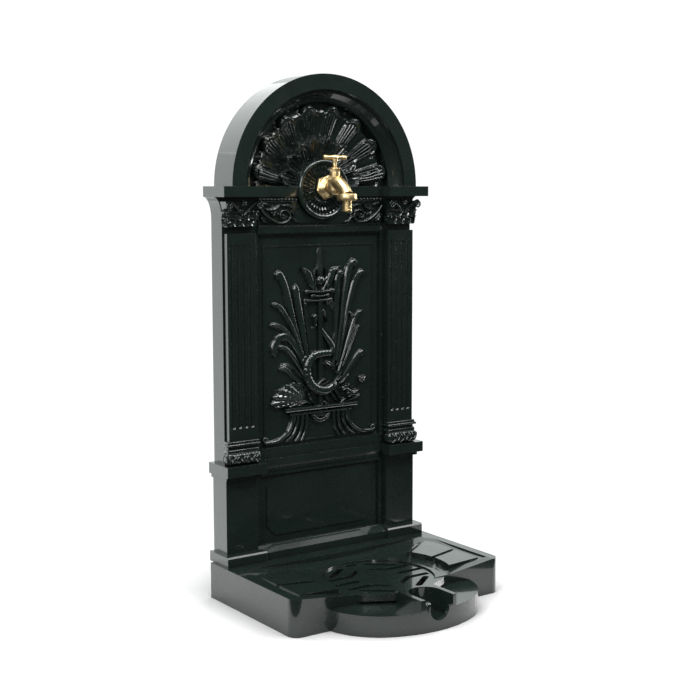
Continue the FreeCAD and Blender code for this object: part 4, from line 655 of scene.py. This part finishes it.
    def still_life(self, seat):
        self.scallop(seat)
        bm = bmesh.new()
        for cx, cz, count, size, turn in FLOWERS:
            for k in range(count):
                angle = turn + (2 * math.pi * k / count if count > 3 else (k - 1) * 0.5)
                spine = []
                for r in (2, size * 0.55, size):
                    bent = angle + 0.15 * r / size
                    spine.append((cx + r * math.cos(bent), cz + 0.85 * r * math.sin(bent)))
                leaf(bm, spine, petal(size * 0.3, 0.8),
                     lambda t, s: 6.5 + 4 * t - 3.5 * t * t + 2.2 * abs(s) - bump(0, 0.3, s), seat, 10, 8)
            ball(bm, at(cx, seat + 8, cz), size * 0.26, 0.8, 8)
        for spine in SPRAYS:
            leaf(bm, spine, petal(3.8), blade(8, 1.2, 1), seat, 14, 8)
        finished("relief_flowers", bm, "green paint", shade=60)

    def stand(self, seat):
        bm = bmesh.new()
        leaf(bm, ((-88, 367), (0, 367), (88, 367)), lambda t: 5.2,
             lambda t, s: 11 * (1 - s ** 6) + 1.2 * bump(0.55, 0.3, abs(s)), seat, 40, 12)
        leaf(bm, ((-76, 358), (0, 357), (76, 358)), lambda t: 4.0, lambda t, s: 8 * (1 - s ** 4), seat, 40, 8)
        leaf(bm, ((-24, 352), (0, 350), (24, 352)), lambda t: 5.0, lambda t, s: 6 * (1 - s ** 4), seat, 16, 8)
        for side in (-1, 1):
            for half, height, spine in FEET:
                leaf(bm, [(side * x, z) for x, z in spine], taper(half, 0.35),
                     lambda t, s, height=height: rounded(height)(t, s) * (1 - 0.25 * t), seat, 26, 10)
            curl = ((132, 304), (138, 309), (135, 315), (129, 312), (131, 307))
            tube(bm, [(side * x, seat + 4, z) for x, z in curl], lambda t: 3.2 - 1.2 * t, 20, 10)
        swag = ((-20, 352), (-11, 344), (0, 341), (11, 344), (20, 352))
        for drop, radius in ((0, 2.2), (-5, 1.7)):
            tube(bm, [(x, seat + 5, z + drop) for x, z in swag],
                 lambda t, radius=radius: radius * (1 + 0.18 * math.cos(40 * t)), 40, 10)
        finished("relief_stand", bm, "green paint", shade=55)


# ---------------------------------------------------------------- frieze and capitals
SCROLL = ((149, 778), (140, 767), (124, 755), (106, 747), (90, 747), (79, 754), (79, 765), (89, 771),
          (100, 767), (101, 758), (93, 755), (88, 760))
FRIEZE_LEAVES = (
    (1.8, ((148, 764), (134, 754), (116, 746))),
    (2.6, ((80, 758), (70, 755), (62, 748), (56, 746))),
    (3.4, ((134, 774), (122, 772), (110, 776), (100, 783))),
    (2.6, ((122, 768), (116, 762), (112, 770))),
    (3.0, ((96, 780), (84, 781), (72, 777), (64, 779))),
    (2.6, ((76, 770), (70, 765), (68, 759))),
    (3.0, ((144, 758), (140, 751), (130, 747))),
    (2.2, ((110, 760), (114, 766), (108, 770))),
    (2.8, ((146, 786), (136, 784), (126, 780))),
)
BERRIES = ((94, 761, 2.4), (106, 764, 2.0), (134, 761, 2.2), (120, 779, 1.8))


class FOUNTAIN_OT_frieze(bpy.types.Operator):
    """Model the frieze's row of pearls and its running scrolls"""

    bl_idname = "fountain.frieze"
    bl_label = "Frieze"

    def execute(self, context):
        seat = (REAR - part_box("frieze_panel")[0].y) / MM
        bm = bmesh.new()
        for k in range(11):
            ball(bm, at(62 + 8.4 * k, seat + 0.6, 792), 2.3, 0.9, 5)
        leaf(bm, ((60, 788.2), (104, 788.2), (148, 788.2)), lambda t: 0.9, rounded(1.2, 1), seat, 12, 4)
        mirrored(bm)
        finished("frieze_pearls", bm, "green paint")
        bm = bmesh.new()
        leaf(bm, SCROLL, lambda t: 2.9 - 1.4 * t, rounded(4.6), seat, 70, 8)
        for half, spine in FRIEZE_LEAVES:
            leaf(bm, spine, petal(half, root=0.12), blade(4.2, 0.9, 0), seat, 14, 8)
        for x, z, radius in BERRIES:
            ball(bm, at(x, seat + 2.4, z), radius, 0.9, 7)
        mirrored(bm)
        finished("frieze_scrolls", bm, "green paint", shade=60)
        return {"FINISHED"}


def acanthus(bm, foot, turn, height, half, curl):
    """A capital leaf that stands up from its foot and rolls over outwards at the top."""
    made = bmesh.ops.create_grid(bm, x_segments=22, y_segments=10, size=0.5)
    out = Vector((math.sin(turn), math.cos(turn)))
    side = Vector((out.y, -out.x))
    for vert in made["verts"]:
        t, s = vert.co.x + 0.5, 2 * vert.co.y
        roll = smooth(0.45, 1.0, t)
        z = height * (t - 0.42 * roll * t ** 3)
        away = curl * (0.18 * t + roll ** 1.4 * 0.95) + 1.8 * (1 - abs(s)) * (1 - t) + 0.9 * bump(0, 0.25, s)
        width = half * (0.72 + 0.42 * math.sin(math.pi * t)) * (1 - 0.62 * smooth(0.7, 1.0, t))
        width *= 1 + 0.13 * math.cos(8 * math.pi * t)
        away -= 1.6 * abs(s) ** 2 + 0.7 * math.cos(3 * math.pi * s) * t
        p = Vector((foot[0], foot[1])) + out * away + side * width * s
        vert.co = at(p.x, p.y, foot[2] + z)
    faces = list({f for v in made["verts"] for f in v.link_faces})
    bmesh.ops.recalc_face_normals(bm, faces=faces)
    bmesh.ops.solidify(bm, geom=faces, thickness=1.7 * MM)


def slab(bm, x0, x1, depth0, depth1, z0, z1, round_off, segments=3):
    """A block with rounded edges."""
    made = bmesh.ops.create_cube(bm, size=1)["verts"]
    low, high = at(x0, depth1, z0), at(x1, depth0, z1)
    bmesh.ops.scale(bm, vec=high - low, verts=made)
    bmesh.ops.translate(bm, vec=(low + high) / 2, verts=made)
    edges = list({e for v in made for e in v.link_edges})
    bmesh.ops.bevel(bm, geom=edges, offset=round_off * MM, segments=segments, profile=0.5, affect="EDGES",
                    material=-1)


class FOUNTAIN_OT_capitals(bpy.types.Operator):
    """Model the two leafy capitals with their neck rings, corner volutes and top slab"""

    bl_idname = "fountain.capitals"
    bl_label = "Capitals"

    def execute(self, context):
        low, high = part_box("capital_right")
        x0, x1 = low.x / MM, high.x / MM
        back, bottom, top = (REAR - high.y) / MM, low.z / MM, high.z / MM
        for name, side in (("left", -1), ("right", 1)):
            bm = bmesh.new()
            slab(bm, x0 + 8, x1 - 13, back, 58, bottom, bottom + 6.5, 2.4)
            slab(bm, x0 + 6.5, x1 - 11, back, 60.5, bottom + 7.0, bottom + 15.5, 3.2)
            slab(bm, x0, x1, back, 77, top - 6.5, top, 1.6)
            slab(bm, x0 + 2, x1 - 2, back, 74, top - 10.5, top - 6.0, 1.6)
            self.bell(bm, back, bottom + 13, top - 9)
            self.leaves(bm, 57.0, bottom)
            for centre, turn in ((161.5, -1), (226.5, 1)):
                self.volute(bm, centre, turn, bottom)
            self.flower(bm, self.middle, bottom + 59)
            if side < 0:
                bmesh.ops.scale(bm, vec=(-1, 1, 1), verts=bm.verts[:])
            finished("capital_leaves_" + name, bm, "green paint", replaces=("capital_" + name,), shade=50)
        return {"FINISHED"}

    middle = 194

    def bell(self, bm, back, foot, head):
        """The flaring block behind the leaves."""
        made = bmesh.ops.create_cube(bm, size=1)["verts"]
        edges = list({e for v in made for e in v.link_edges})
        bmesh.ops.subdivide_edges(bm, edges=edges, cuts=9, use_grid_fill=True)
        # This also draws in the neck rings and top slabs made before it, which is a fault.
        for vert in bm.verts:
            t = vert.co.z + 0.5
            flare = 0.5 + 1.5 * t ** 2.4
            left, right = 163 - 4 * flare, 224 + 5 * flare
            front = 55.5 + 5.5 * flare
            x = left + (right - left) * (vert.co.x + 0.5)
            depth = front + (back - front) * (vert.co.y + 0.5)
            vert.co = at(x, depth, foot + (head - foot) * t)

    def leaves(self, bm, face, bottom):
        """Two tiers of leaves across the front and round the outer side."""
        for x in (174.5, self.middle, 213.5):
            acanthus(bm, (x, face, bottom + 14.5), 0, 25, 9.5, 9)
        for x, turn in ((164, -0.75), (226, 0.75)):
            acanthus(bm, (x, face - 3, bottom + 14.5), turn, 25, 8, 8)
        for x in (184.5, 203.5):
            acanthus(bm, (x, face + 3, bottom + 26), 0, 27, 9, 9)
        for x, turn in ((165, -0.3), (223, 0.3)):
            acanthus(bm, (x, face + 2, bottom + 27), turn, 26, 8, 9)
        for depth in (48, 54):
            acanthus(bm, (226.5, depth, bottom + 15), math.pi / 2, 24, 7, 5)
            acanthus(bm, (228.5, depth, bottom + 30), math.pi / 2, 22, 7, 5)

    def volute(self, bm, centre, turn, bottom):
        """A stalk that rises from the middle and curls up at the corner."""
        path = [(self.middle + turn * 3, 64, bottom + 36), (self.middle + turn * 13, 67, bottom + 48),
                (centre - turn * 3, 70, bottom + 62)]
        eye = bottom + 54
        for k in range(1, 10):
            angle = math.pi / 2 - turn * k * math.pi / 4
            r = 7.6 - 0.62 * k
            path.append((centre + r * math.cos(angle), 70.5 + 0.25 * k, eye + r * math.sin(angle)))
        tube(bm, path, lambda t: 2.3 - 0.6 * t, 60, 10)
        ball(bm, at(centre, 71.5, eye), 2.4, 0.9, 7)

    def flower(self, bm, x, z):
        """The small flower at the top."""
        for k in range(6):
            angle = math.pi * k / 3
            ball(bm, at(x + 4.2 * math.cos(angle), 70, z + 4.2 * math.sin(angle)), 2.3, 0.8, 6)
        ball(bm, at(x, 71.5, z), 2.4, 0.9, 6)


class FOUNTAIN_OT_bases(bpy.types.Operator):
    """Model the pilaster feet: a fillet, a hollow neck and a thick roll bound with crossing leaves"""

    bl_idname = "fountain.bases"
    bl_label = "Pilaster feet"

    def execute(self, context):
        low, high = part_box("pilaster_base_right")
        x0, x1 = low.x / MM, high.x / MM
        back, bottom, top = (REAR - high.y) / MM, low.z / MM, high.z / MM
        front = (REAR - low.y) / MM
        for name, side in (("left", -1), ("right", 1)):
            bm = bmesh.new()
            slab(bm, x0 + 2, x1 - 3, back, front - 1.5, bottom, bottom + 25, 10, 8)
            slab(bm, x0 + 5, x1 - 7, back, front - 8, bottom + 23, bottom + 31, 2.5)
            slab(bm, x0 + 7, x1 - 9, back, front - 12, bottom + 29, bottom + 37.5, 1.5)
            slab(bm, x0 + 3, x1 - 4, back, front - 6, bottom + 36.5, bottom + 42, 2.5, 4)
            slab(bm, x0 + 5, x1 - 7, back, front - 9, bottom + 41, top, 1.8, 4)
            face = front - 5.5
            pitch = (x1 - x0 - 18) / 3

            for k in range(3):
                x = x0 + 9 + pitch * k
                for start in (x, x + 6.5):
                    self.bound(bm, face, bottom, ((start, 23), (start + 5, 16), (start + 11, 7)), 2.6, 4.0)
                self.bound(bm, face, bottom, ((x + 15, 4), (x + 19, 9), (x + 24, 20)), 3.0, 4.6)
                self.bound(bm, face, bottom, ((x + 2, 3), (x + 7, 6), (x + 12, 12)), 2.4, 3.6)
                ball(bm, at(x + 17, face + 3, bottom + 21), 2.7, 0.9, 7)
            for depth in (back + 6, back + 15):
                for z, tilt in ((bottom + 8, 0.8), (bottom + 17, -0.8)):
                    self.side_leaf(bm, at(x1 - 4.5, depth, z), tilt)
            if side < 0:
                bmesh.ops.scale(bm, vec=(-1, 1, 1), verts=bm.verts[:])
            finished("pilaster_foot_" + name, bm, "green paint", replaces=("pilaster_base_" + name,),
                     shade=50)
        return {"FINISHED"}

    def bound(self, bm, face, bottom, spine, half, height):
        """A leaf laid across the roll, its heights measured from the foot's underside."""
        back = rounded(height)
        leaf(bm, [(x, bottom + z) for x, z in spine], petal(half, 0.86, 0.1, 0.6),
             lambda t, s: back(t, s) + 2.2 * math.sin(math.pi * t) - 0.6 * bump(0, 0.3, s), face, 16, 8)

    def side_leaf(self, bm, centre, tilt):
        """A leaf on the roll's outer end."""
        made = ball(bm, Vector(), 4.2, 1.0, 8)
        turned_flat = Matrix.Rotation(tilt, 4, "X") @ Matrix.Diagonal((0.55, 1.25, 0.5, 1))
        bmesh.ops.transform(bm, verts=made, matrix=Matrix.Translation(centre) @ turned_flat)


# ---------------------------------------------------------------- tap
class FOUNTAIN_OT_tap(bpy.types.Operator):
    """Model the brass tap: a cast body with its flange and spout, the tee handle, union nut and hose tail"""

    bl_idname = "fountain.tap"
    bl_label = "Tap"

    def execute(self, context):
        low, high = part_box("union_nut")
        outlet = (REAR - (low.y + high.y) / 2) / MM
        nut_low, nut_high = low.z / MM, high.z / MM
        low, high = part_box("spindle")
        stem = (REAR - (low.y + high.y) / 2) / MM
        self.casting(stem, outlet, nut_high)
        self.union(outlet, nut_low, nut_high)
        self.spigot(outlet)
        self.handle(stem)
        return {"FINISHED"}

    def casting(self, stem, outlet, nut_high):
        """The body, cast in one with its shank, flange and spout."""
        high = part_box("tap_body")[1]
        axis = TAP_AXIS + 4
        shank_end, face = (REAR - high.y) / MM, (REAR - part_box("rosette")[0].y) / MM
        top = high.z / MM - axis
        forwards, upwards = (0, -1, 0), (0, 0, 1)
        bm = bmesh.new()
        shank = [(0, shank_end), (10.35, shank_end), (10.35, face), (11.5, face + 6), (11.5, stem), (0, stem)]
        turned(bm, shank, at(0, 0, axis), forwards, 40)
        self.hexagon(bm, at(0, face + 3.6, axis))
        collar = [(0, face + 2), (19.5, face + 2), (19, face + 8.5), (16, face + 11.5), (12, face + 15),
                  (0, face + 15)]
        turned(bm, collar, at(0, 0, axis), forwards, 40)
        barrel = [(0, -17), (6, -16.6), (10.5, -15), (13.2, -11.5), (14.4, -6), (14.6, 2), (14.2, 12),
                  (13.2, 17), (13.6, top - 3), (13.2, top), (0, top)]
        turned(bm, barrel, at(0, stem, axis), upwards, 48)
        spout = ((0, stem - 2, axis + 10), (0, stem + 8, axis + 9.5), (0, stem + 22, axis + 4.5),
                 (0, outlet - 8, axis - 5), (0, outlet - 1.5, axis - 13), (0, outlet, nut_high - 3))
        tube(bm, spout, lambda t: 13.4 - 1.6 * smooth(0.1, 0.6, t) + 0.8 * smooth(0.8, 1, t), 40, 32)
        body = finished("tap_casting", bm, "polished brass", replaces=("tap_body",), shade=70)
        shell = body.modifiers.new("cast in one", "REMESH")
        shell.mode, shell.voxel_size, shell.use_smooth_shade = "VOXEL", 0.75 * MM, True
        soft = body.modifiers.new("fillets", "SMOOTH")
        soft.factor, soft.iterations = 0.5, 5

    def hexagon(self, bm, centre):
        """The flange that a spanner turns, a little off level."""
        made = bmesh.ops.create_cone(bm, cap_ends=True, segments=6, radius1=25.2 * MM, radius2=25.2 * MM,
                                     depth=7 * MM)["verts"]
        for degrees, axis in ((90, "X"), (12, "Y")):
            turn = Matrix.Rotation(math.radians(degrees), 3, axis)
            bmesh.ops.rotate(bm, verts=made, cent=(0, 0, 0), matrix=turn)
        bmesh.ops.translate(bm, verts=made, vec=centre)
        rim = list({e for v in made for e in v.link_edges})
        bmesh.ops.bevel(bm, geom=rim, offset=2.2 * MM, segments=3, profile=0.5, affect="EDGES", material=-1)

    def union(self, outlet, low, high):
        """The smooth round union nut, bored for the spout and the hose tail."""
        bm = bmesh.new()
        profile = [(13.35, low + 7), (10.2, low + 5), (10.2, low), (17.2, low), (18.9, low + 1.4),
                   (19.5, low + 4), (19.5, high - 3), (18.7, high - 0.8), (17.0, high), (13.35, high),
                   (13.35, low + 7)]
        turned(bm, profile, at(0, outlet, 0), (0, 0, 1), 64)
        finished("union_ring", bm, "polished brass", body="union", replaces=("union_nut",), shade=40)

    def spigot(self, outlet):
        """The hose tail with its three shallow grooves."""
        low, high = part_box("hose_tail")
        low, high = low.z / MM, high.z / MM
        bm = bmesh.new()
        profile = [(7.0, high), (7.0, low + 0.5), (7.5, low), (8.9, low), (9.4, low + 1.0), (9.5, low + 3)]
        for k in range(3):
            z = low + 6 + 5.2 * k
            profile += [(9.5, z - 0.8), (9.05, z - 0.4), (9.05, z + 0.4), (9.5, z + 0.8)]
        profile += [(9.5, low + 22), (9.5, high - 2.6), (11.6, high - 2.4), (11.6, high), (7.0, high)]
        turned(bm, profile, at(0, outlet, 0), (0, 0, 1), 56)
        finished("hose_spigot", bm, "polished brass", body="tail", replaces=("hose_tail",), shade=40)

    def handle(self, stem):
        """The tee bar with its swollen middle, pinned on the spindle."""
        low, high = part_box("tee_bar")
        reach, low, high = high.x / MM, low.z / MM, high.z / MM
        level = (low + high) / 2 + 1
        middle = at(0, stem, level)
        bm = bmesh.new()
        half = [(0, reach), (3.6, reach), (4.7, reach - 1.0), (5.0, reach - 2.6), (4.8, reach - 6),
                (4.3, reach - 11), (4.2, reach - 15), (4.6, 8.5), (5.4, 6.5)]
        turned(bm, half + [(r, -h) for r, h in reversed(half)], middle, (1, 0, 0), 36)
        stretched(bm, ball(bm, middle, 7.0, 1.0, 12), (1, 1, 0.84), middle)
        hub = [(4.05, low), (6.3, low), (6.5, low + 1.2), (6.2, level), (4.05, level), (4.05, low)]
        turned(bm, hub, at(0, stem, 0), (0, 0, 1), 36)
        finished("tee_handle", bm, "polished brass", body="handle", replaces=("tee_bar",), shade=50)


# ---------------------------------------------------------------- stage
class FountainStage(bpy.types.PropertyGroup):
    heading: FloatProperty(name="Heading", description="Camera turn from straight on", subtype="ANGLE",
                           default=math.radians(35.13))
    tilt: FloatProperty(name="Tilt", description="How far the camera looks down", subtype="ANGLE",
                        default=math.radians(6.98))
    lens: FloatProperty(name="Lens", description="Focal length in millimetres", default=67.46,
                        min=20, max=200)
    front: FloatProperty(name="Room in front", description="Brightness of the room in front of the fountain",
                         default=0.05, min=0, max=3)
    back: FloatProperty(name="Room behind", description="Brightness of the wall behind the fountain",
                        default=0.9, min=0, max=3)


LIGHTS = (
    ("back wall light", (-1.8, 2.2, 0.35), (0, 0.2, 0.45), (2.8, 2.8), 19),
    ("high back light", (-0.2, 2.3, 2.2), (-0.1, 0.15, 1.0), (2.4, 1.2), 9),
    ("overhead light", (-0.5, -0.1, 2.8), (0, -0.05, 0.2), (1.6, 1.6), 62),
    ("left light", (-2.2, -1.0, 1.8), (0, 0.1, 0.6), (0.8, 1.4), 48),
    ("front left light", (-1.1, -2.3, 1.4), (0, 0.1, 0.6), (0.3, 1.2), 14),
    ("front high light", (0.8, -1.5, 2.5), (0, 0.1, 0.6), (1.2, 0.5), 44),
    ("high right light", (1.5, -0.55, 2.2), (0, 0.0, 0.3), (1.0, 0.9), 13),
    ("right light", (2.3, -0.1, 1.2), (0, 0.1, 0.6), (0.6, 1.4), 26),
)


class FOUNTAIN_OT_stage(bpy.types.Operator):
    """Set the pale floor, the soft lights and the camera"""

    bl_idname = "fountain.stage"
    bl_label = "Stage"

    def execute(self, context):
        plan = context.scene.fountain_stage
        context.scene.view_settings.view_transform = "Standard"
        self.floor()
        self.room(plan)
        for light in LIGHTS:
            self.softbox(*light)
        self.camera(plan)
        return {"FINISHED"}

    def floor(self):
        """A round sheet of pale paper that glows to stay white, its glow dimmed near the fountain as a painted
        contact shadow.
        """
        bm = bmesh.new()
        bmesh.ops.create_circle(bm, cap_ends=True, radius=0.5, segments=96)
        bmesh.ops.translate(bm, vec=(0.04, 0.16, 0), verts=bm.verts[:])
        mesh = bpy.data.meshes.new("floor")
        bm.to_mesh(mesh)
        bm.free()
        floor = bpy.data.objects.new("floor", mesh)
        bpy.context.scene.collection.objects.link(floor)
        s = Surface("floor paper")
        tone = s.mixed(s.patches(3.0, 2.0, 0.3, 0.7), (0.44, 0.44, 0.44, 1), (0.46, 0.46, 0.46, 1))
        mesh.materials.append(s.wire(tone, s.patches(40.0, 3.0, 0.3, 0.7, 0.6, 0.7), level=0.0))
        s.shader.inputs["Emission Color"].default_value = (1, 1, 1, 1)
        # Painted shadow: the floor's glow falls off where ambient occlusion finds the fountain close by.
        glow_with_painted_shadow = s.spread(s.recess(0.28), 0.62, 1.0, 0.0, 0.50)
        s.tree.links.new(glow_with_painted_shadow, s.shader.inputs["Emission Strength"])

    def room(self, plan):
        """A dim room with a bright wall behind the fountain, seen directly as plain white."""
        world = bpy.data.worlds.new("studio")
        bpy.context.scene.world = world
        world.use_nodes = True
        nodes, links = world.node_tree.nodes, world.node_tree.links
        room = nodes["Background"]
        room.inputs["Color"].default_value = (0.93, 1.0, 0.965, 1)
        way = nodes.new("ShaderNodeTexCoord").outputs["Generated"]
        split = nodes.new("ShaderNodeSeparateXYZ")
        links.new(way, split.inputs[0])
        wall = nodes.new("ShaderNodeMapRange")
        wall.interpolation_type = "SMOOTHSTEP"
        span = {"From Min": 0.0, "From Max": 0.75, "To Min": plan.front, "To Max": plan.back}
        for key, value in span.items():
            wall.inputs[key].default_value = value
        links.new(split.outputs["Y"], wall.inputs["Value"])
        links.new(wall.outputs["Result"], room.inputs["Strength"])
        white = nodes.new("ShaderNodeBackground")
        white.inputs["Color"].default_value = (1, 1, 1, 1)
        white.inputs["Strength"].default_value = 1.05
        seen = nodes.new("ShaderNodeLightPath")
        blend = nodes.new("ShaderNodeMixShader")
        sources = (seen.outputs["Is Camera Ray"], room.outputs[0], white.outputs[0])
        for source, socket in zip(sources, blend.inputs):
            links.new(source, socket)
        links.new(blend.outputs[0], nodes["World Output"].inputs["Surface"])

    def softbox(self, name, place, aim, size, power):
        """A soft rectangular studio light."""
        data = bpy.data.lights.new(name, "AREA")
        data.shape, data.size, data.size_y, data.energy = "RECTANGLE", size[0], size[1], power
        lamp = bpy.data.objects.new(name, data)
        bpy.context.scene.collection.objects.link(lamp)
        lamp.location = place
        lamp.visible_camera = False
        lamp.rotation_euler = (Vector(aim) - Vector(place)).to_track_quat("-Z", "Y").to_euler()

    def camera(self, plan):
        """The camera, a little to the left of the fountain and above its middle."""
        scene = bpy.context.scene
        data = bpy.data.cameras.new("camera")
        data.lens, data.sensor_width = plan.lens, 36
        camera = bpy.data.objects.new("camera", data)
        scene.collection.objects.link(camera)
        camera.location = (-1.4885, -2.0440, 0.8120)
        camera.rotation_euler = (math.pi / 2 - plan.tilt, math.radians(0.05), -plan.heading)
        data.clip_end = 50
        scene.camera = camera


class FOUNTAIN_PT_panel(bpy.types.Panel):
    """The fountain's parts and settings"""

    bl_idname = "FOUNTAIN_PT_panel"
    bl_label = "Drinking fountain"
    bl_space_type = "VIEW_3D"
    bl_region_type = "UI"
    bl_category = "Fountain"

    def draw(self, context):
        for group in SETTINGS:
            box = self.layout.box()
            settings = getattr(context.scene, group)
            for key in settings.__annotations__:
                box.prop(settings, key)
        for operator in OPERATORS:
            self.layout.operator(operator.bl_idname)


SETTINGS = {"fountain_finish": FountainFinish, "fountain_shell": FountainShell,
            "fountain_stage": FountainStage}
OPERATORS = (FOUNTAIN_OT_finishes, FOUNTAIN_OT_shell, FOUNTAIN_OT_rosette, FOUNTAIN_OT_relief,
             FOUNTAIN_OT_frieze, FOUNTAIN_OT_capitals, FOUNTAIN_OT_bases, FOUNTAIN_OT_tap, FOUNTAIN_OT_stage)


def register():
    for group in (*SETTINGS.values(), *OPERATORS, FOUNTAIN_PT_panel):
        bpy.utils.register_class(group)
    for name, group in SETTINGS.items():
        setattr(bpy.types.Scene, name, PointerProperty(type=group))


def unregister():
    for name in SETTINGS:
        delattr(bpy.types.Scene, name)
    for group in reversed((*SETTINGS.values(), *OPERATORS, FOUNTAIN_PT_panel)):
        bpy.utils.unregister_class(group)


def main():
    register()
    for operator in OPERATORS:
        kind, name = operator.bl_idname.split(".")
        getattr(getattr(bpy.ops, kind), name)()


if __name__ == "__main__":
    main()
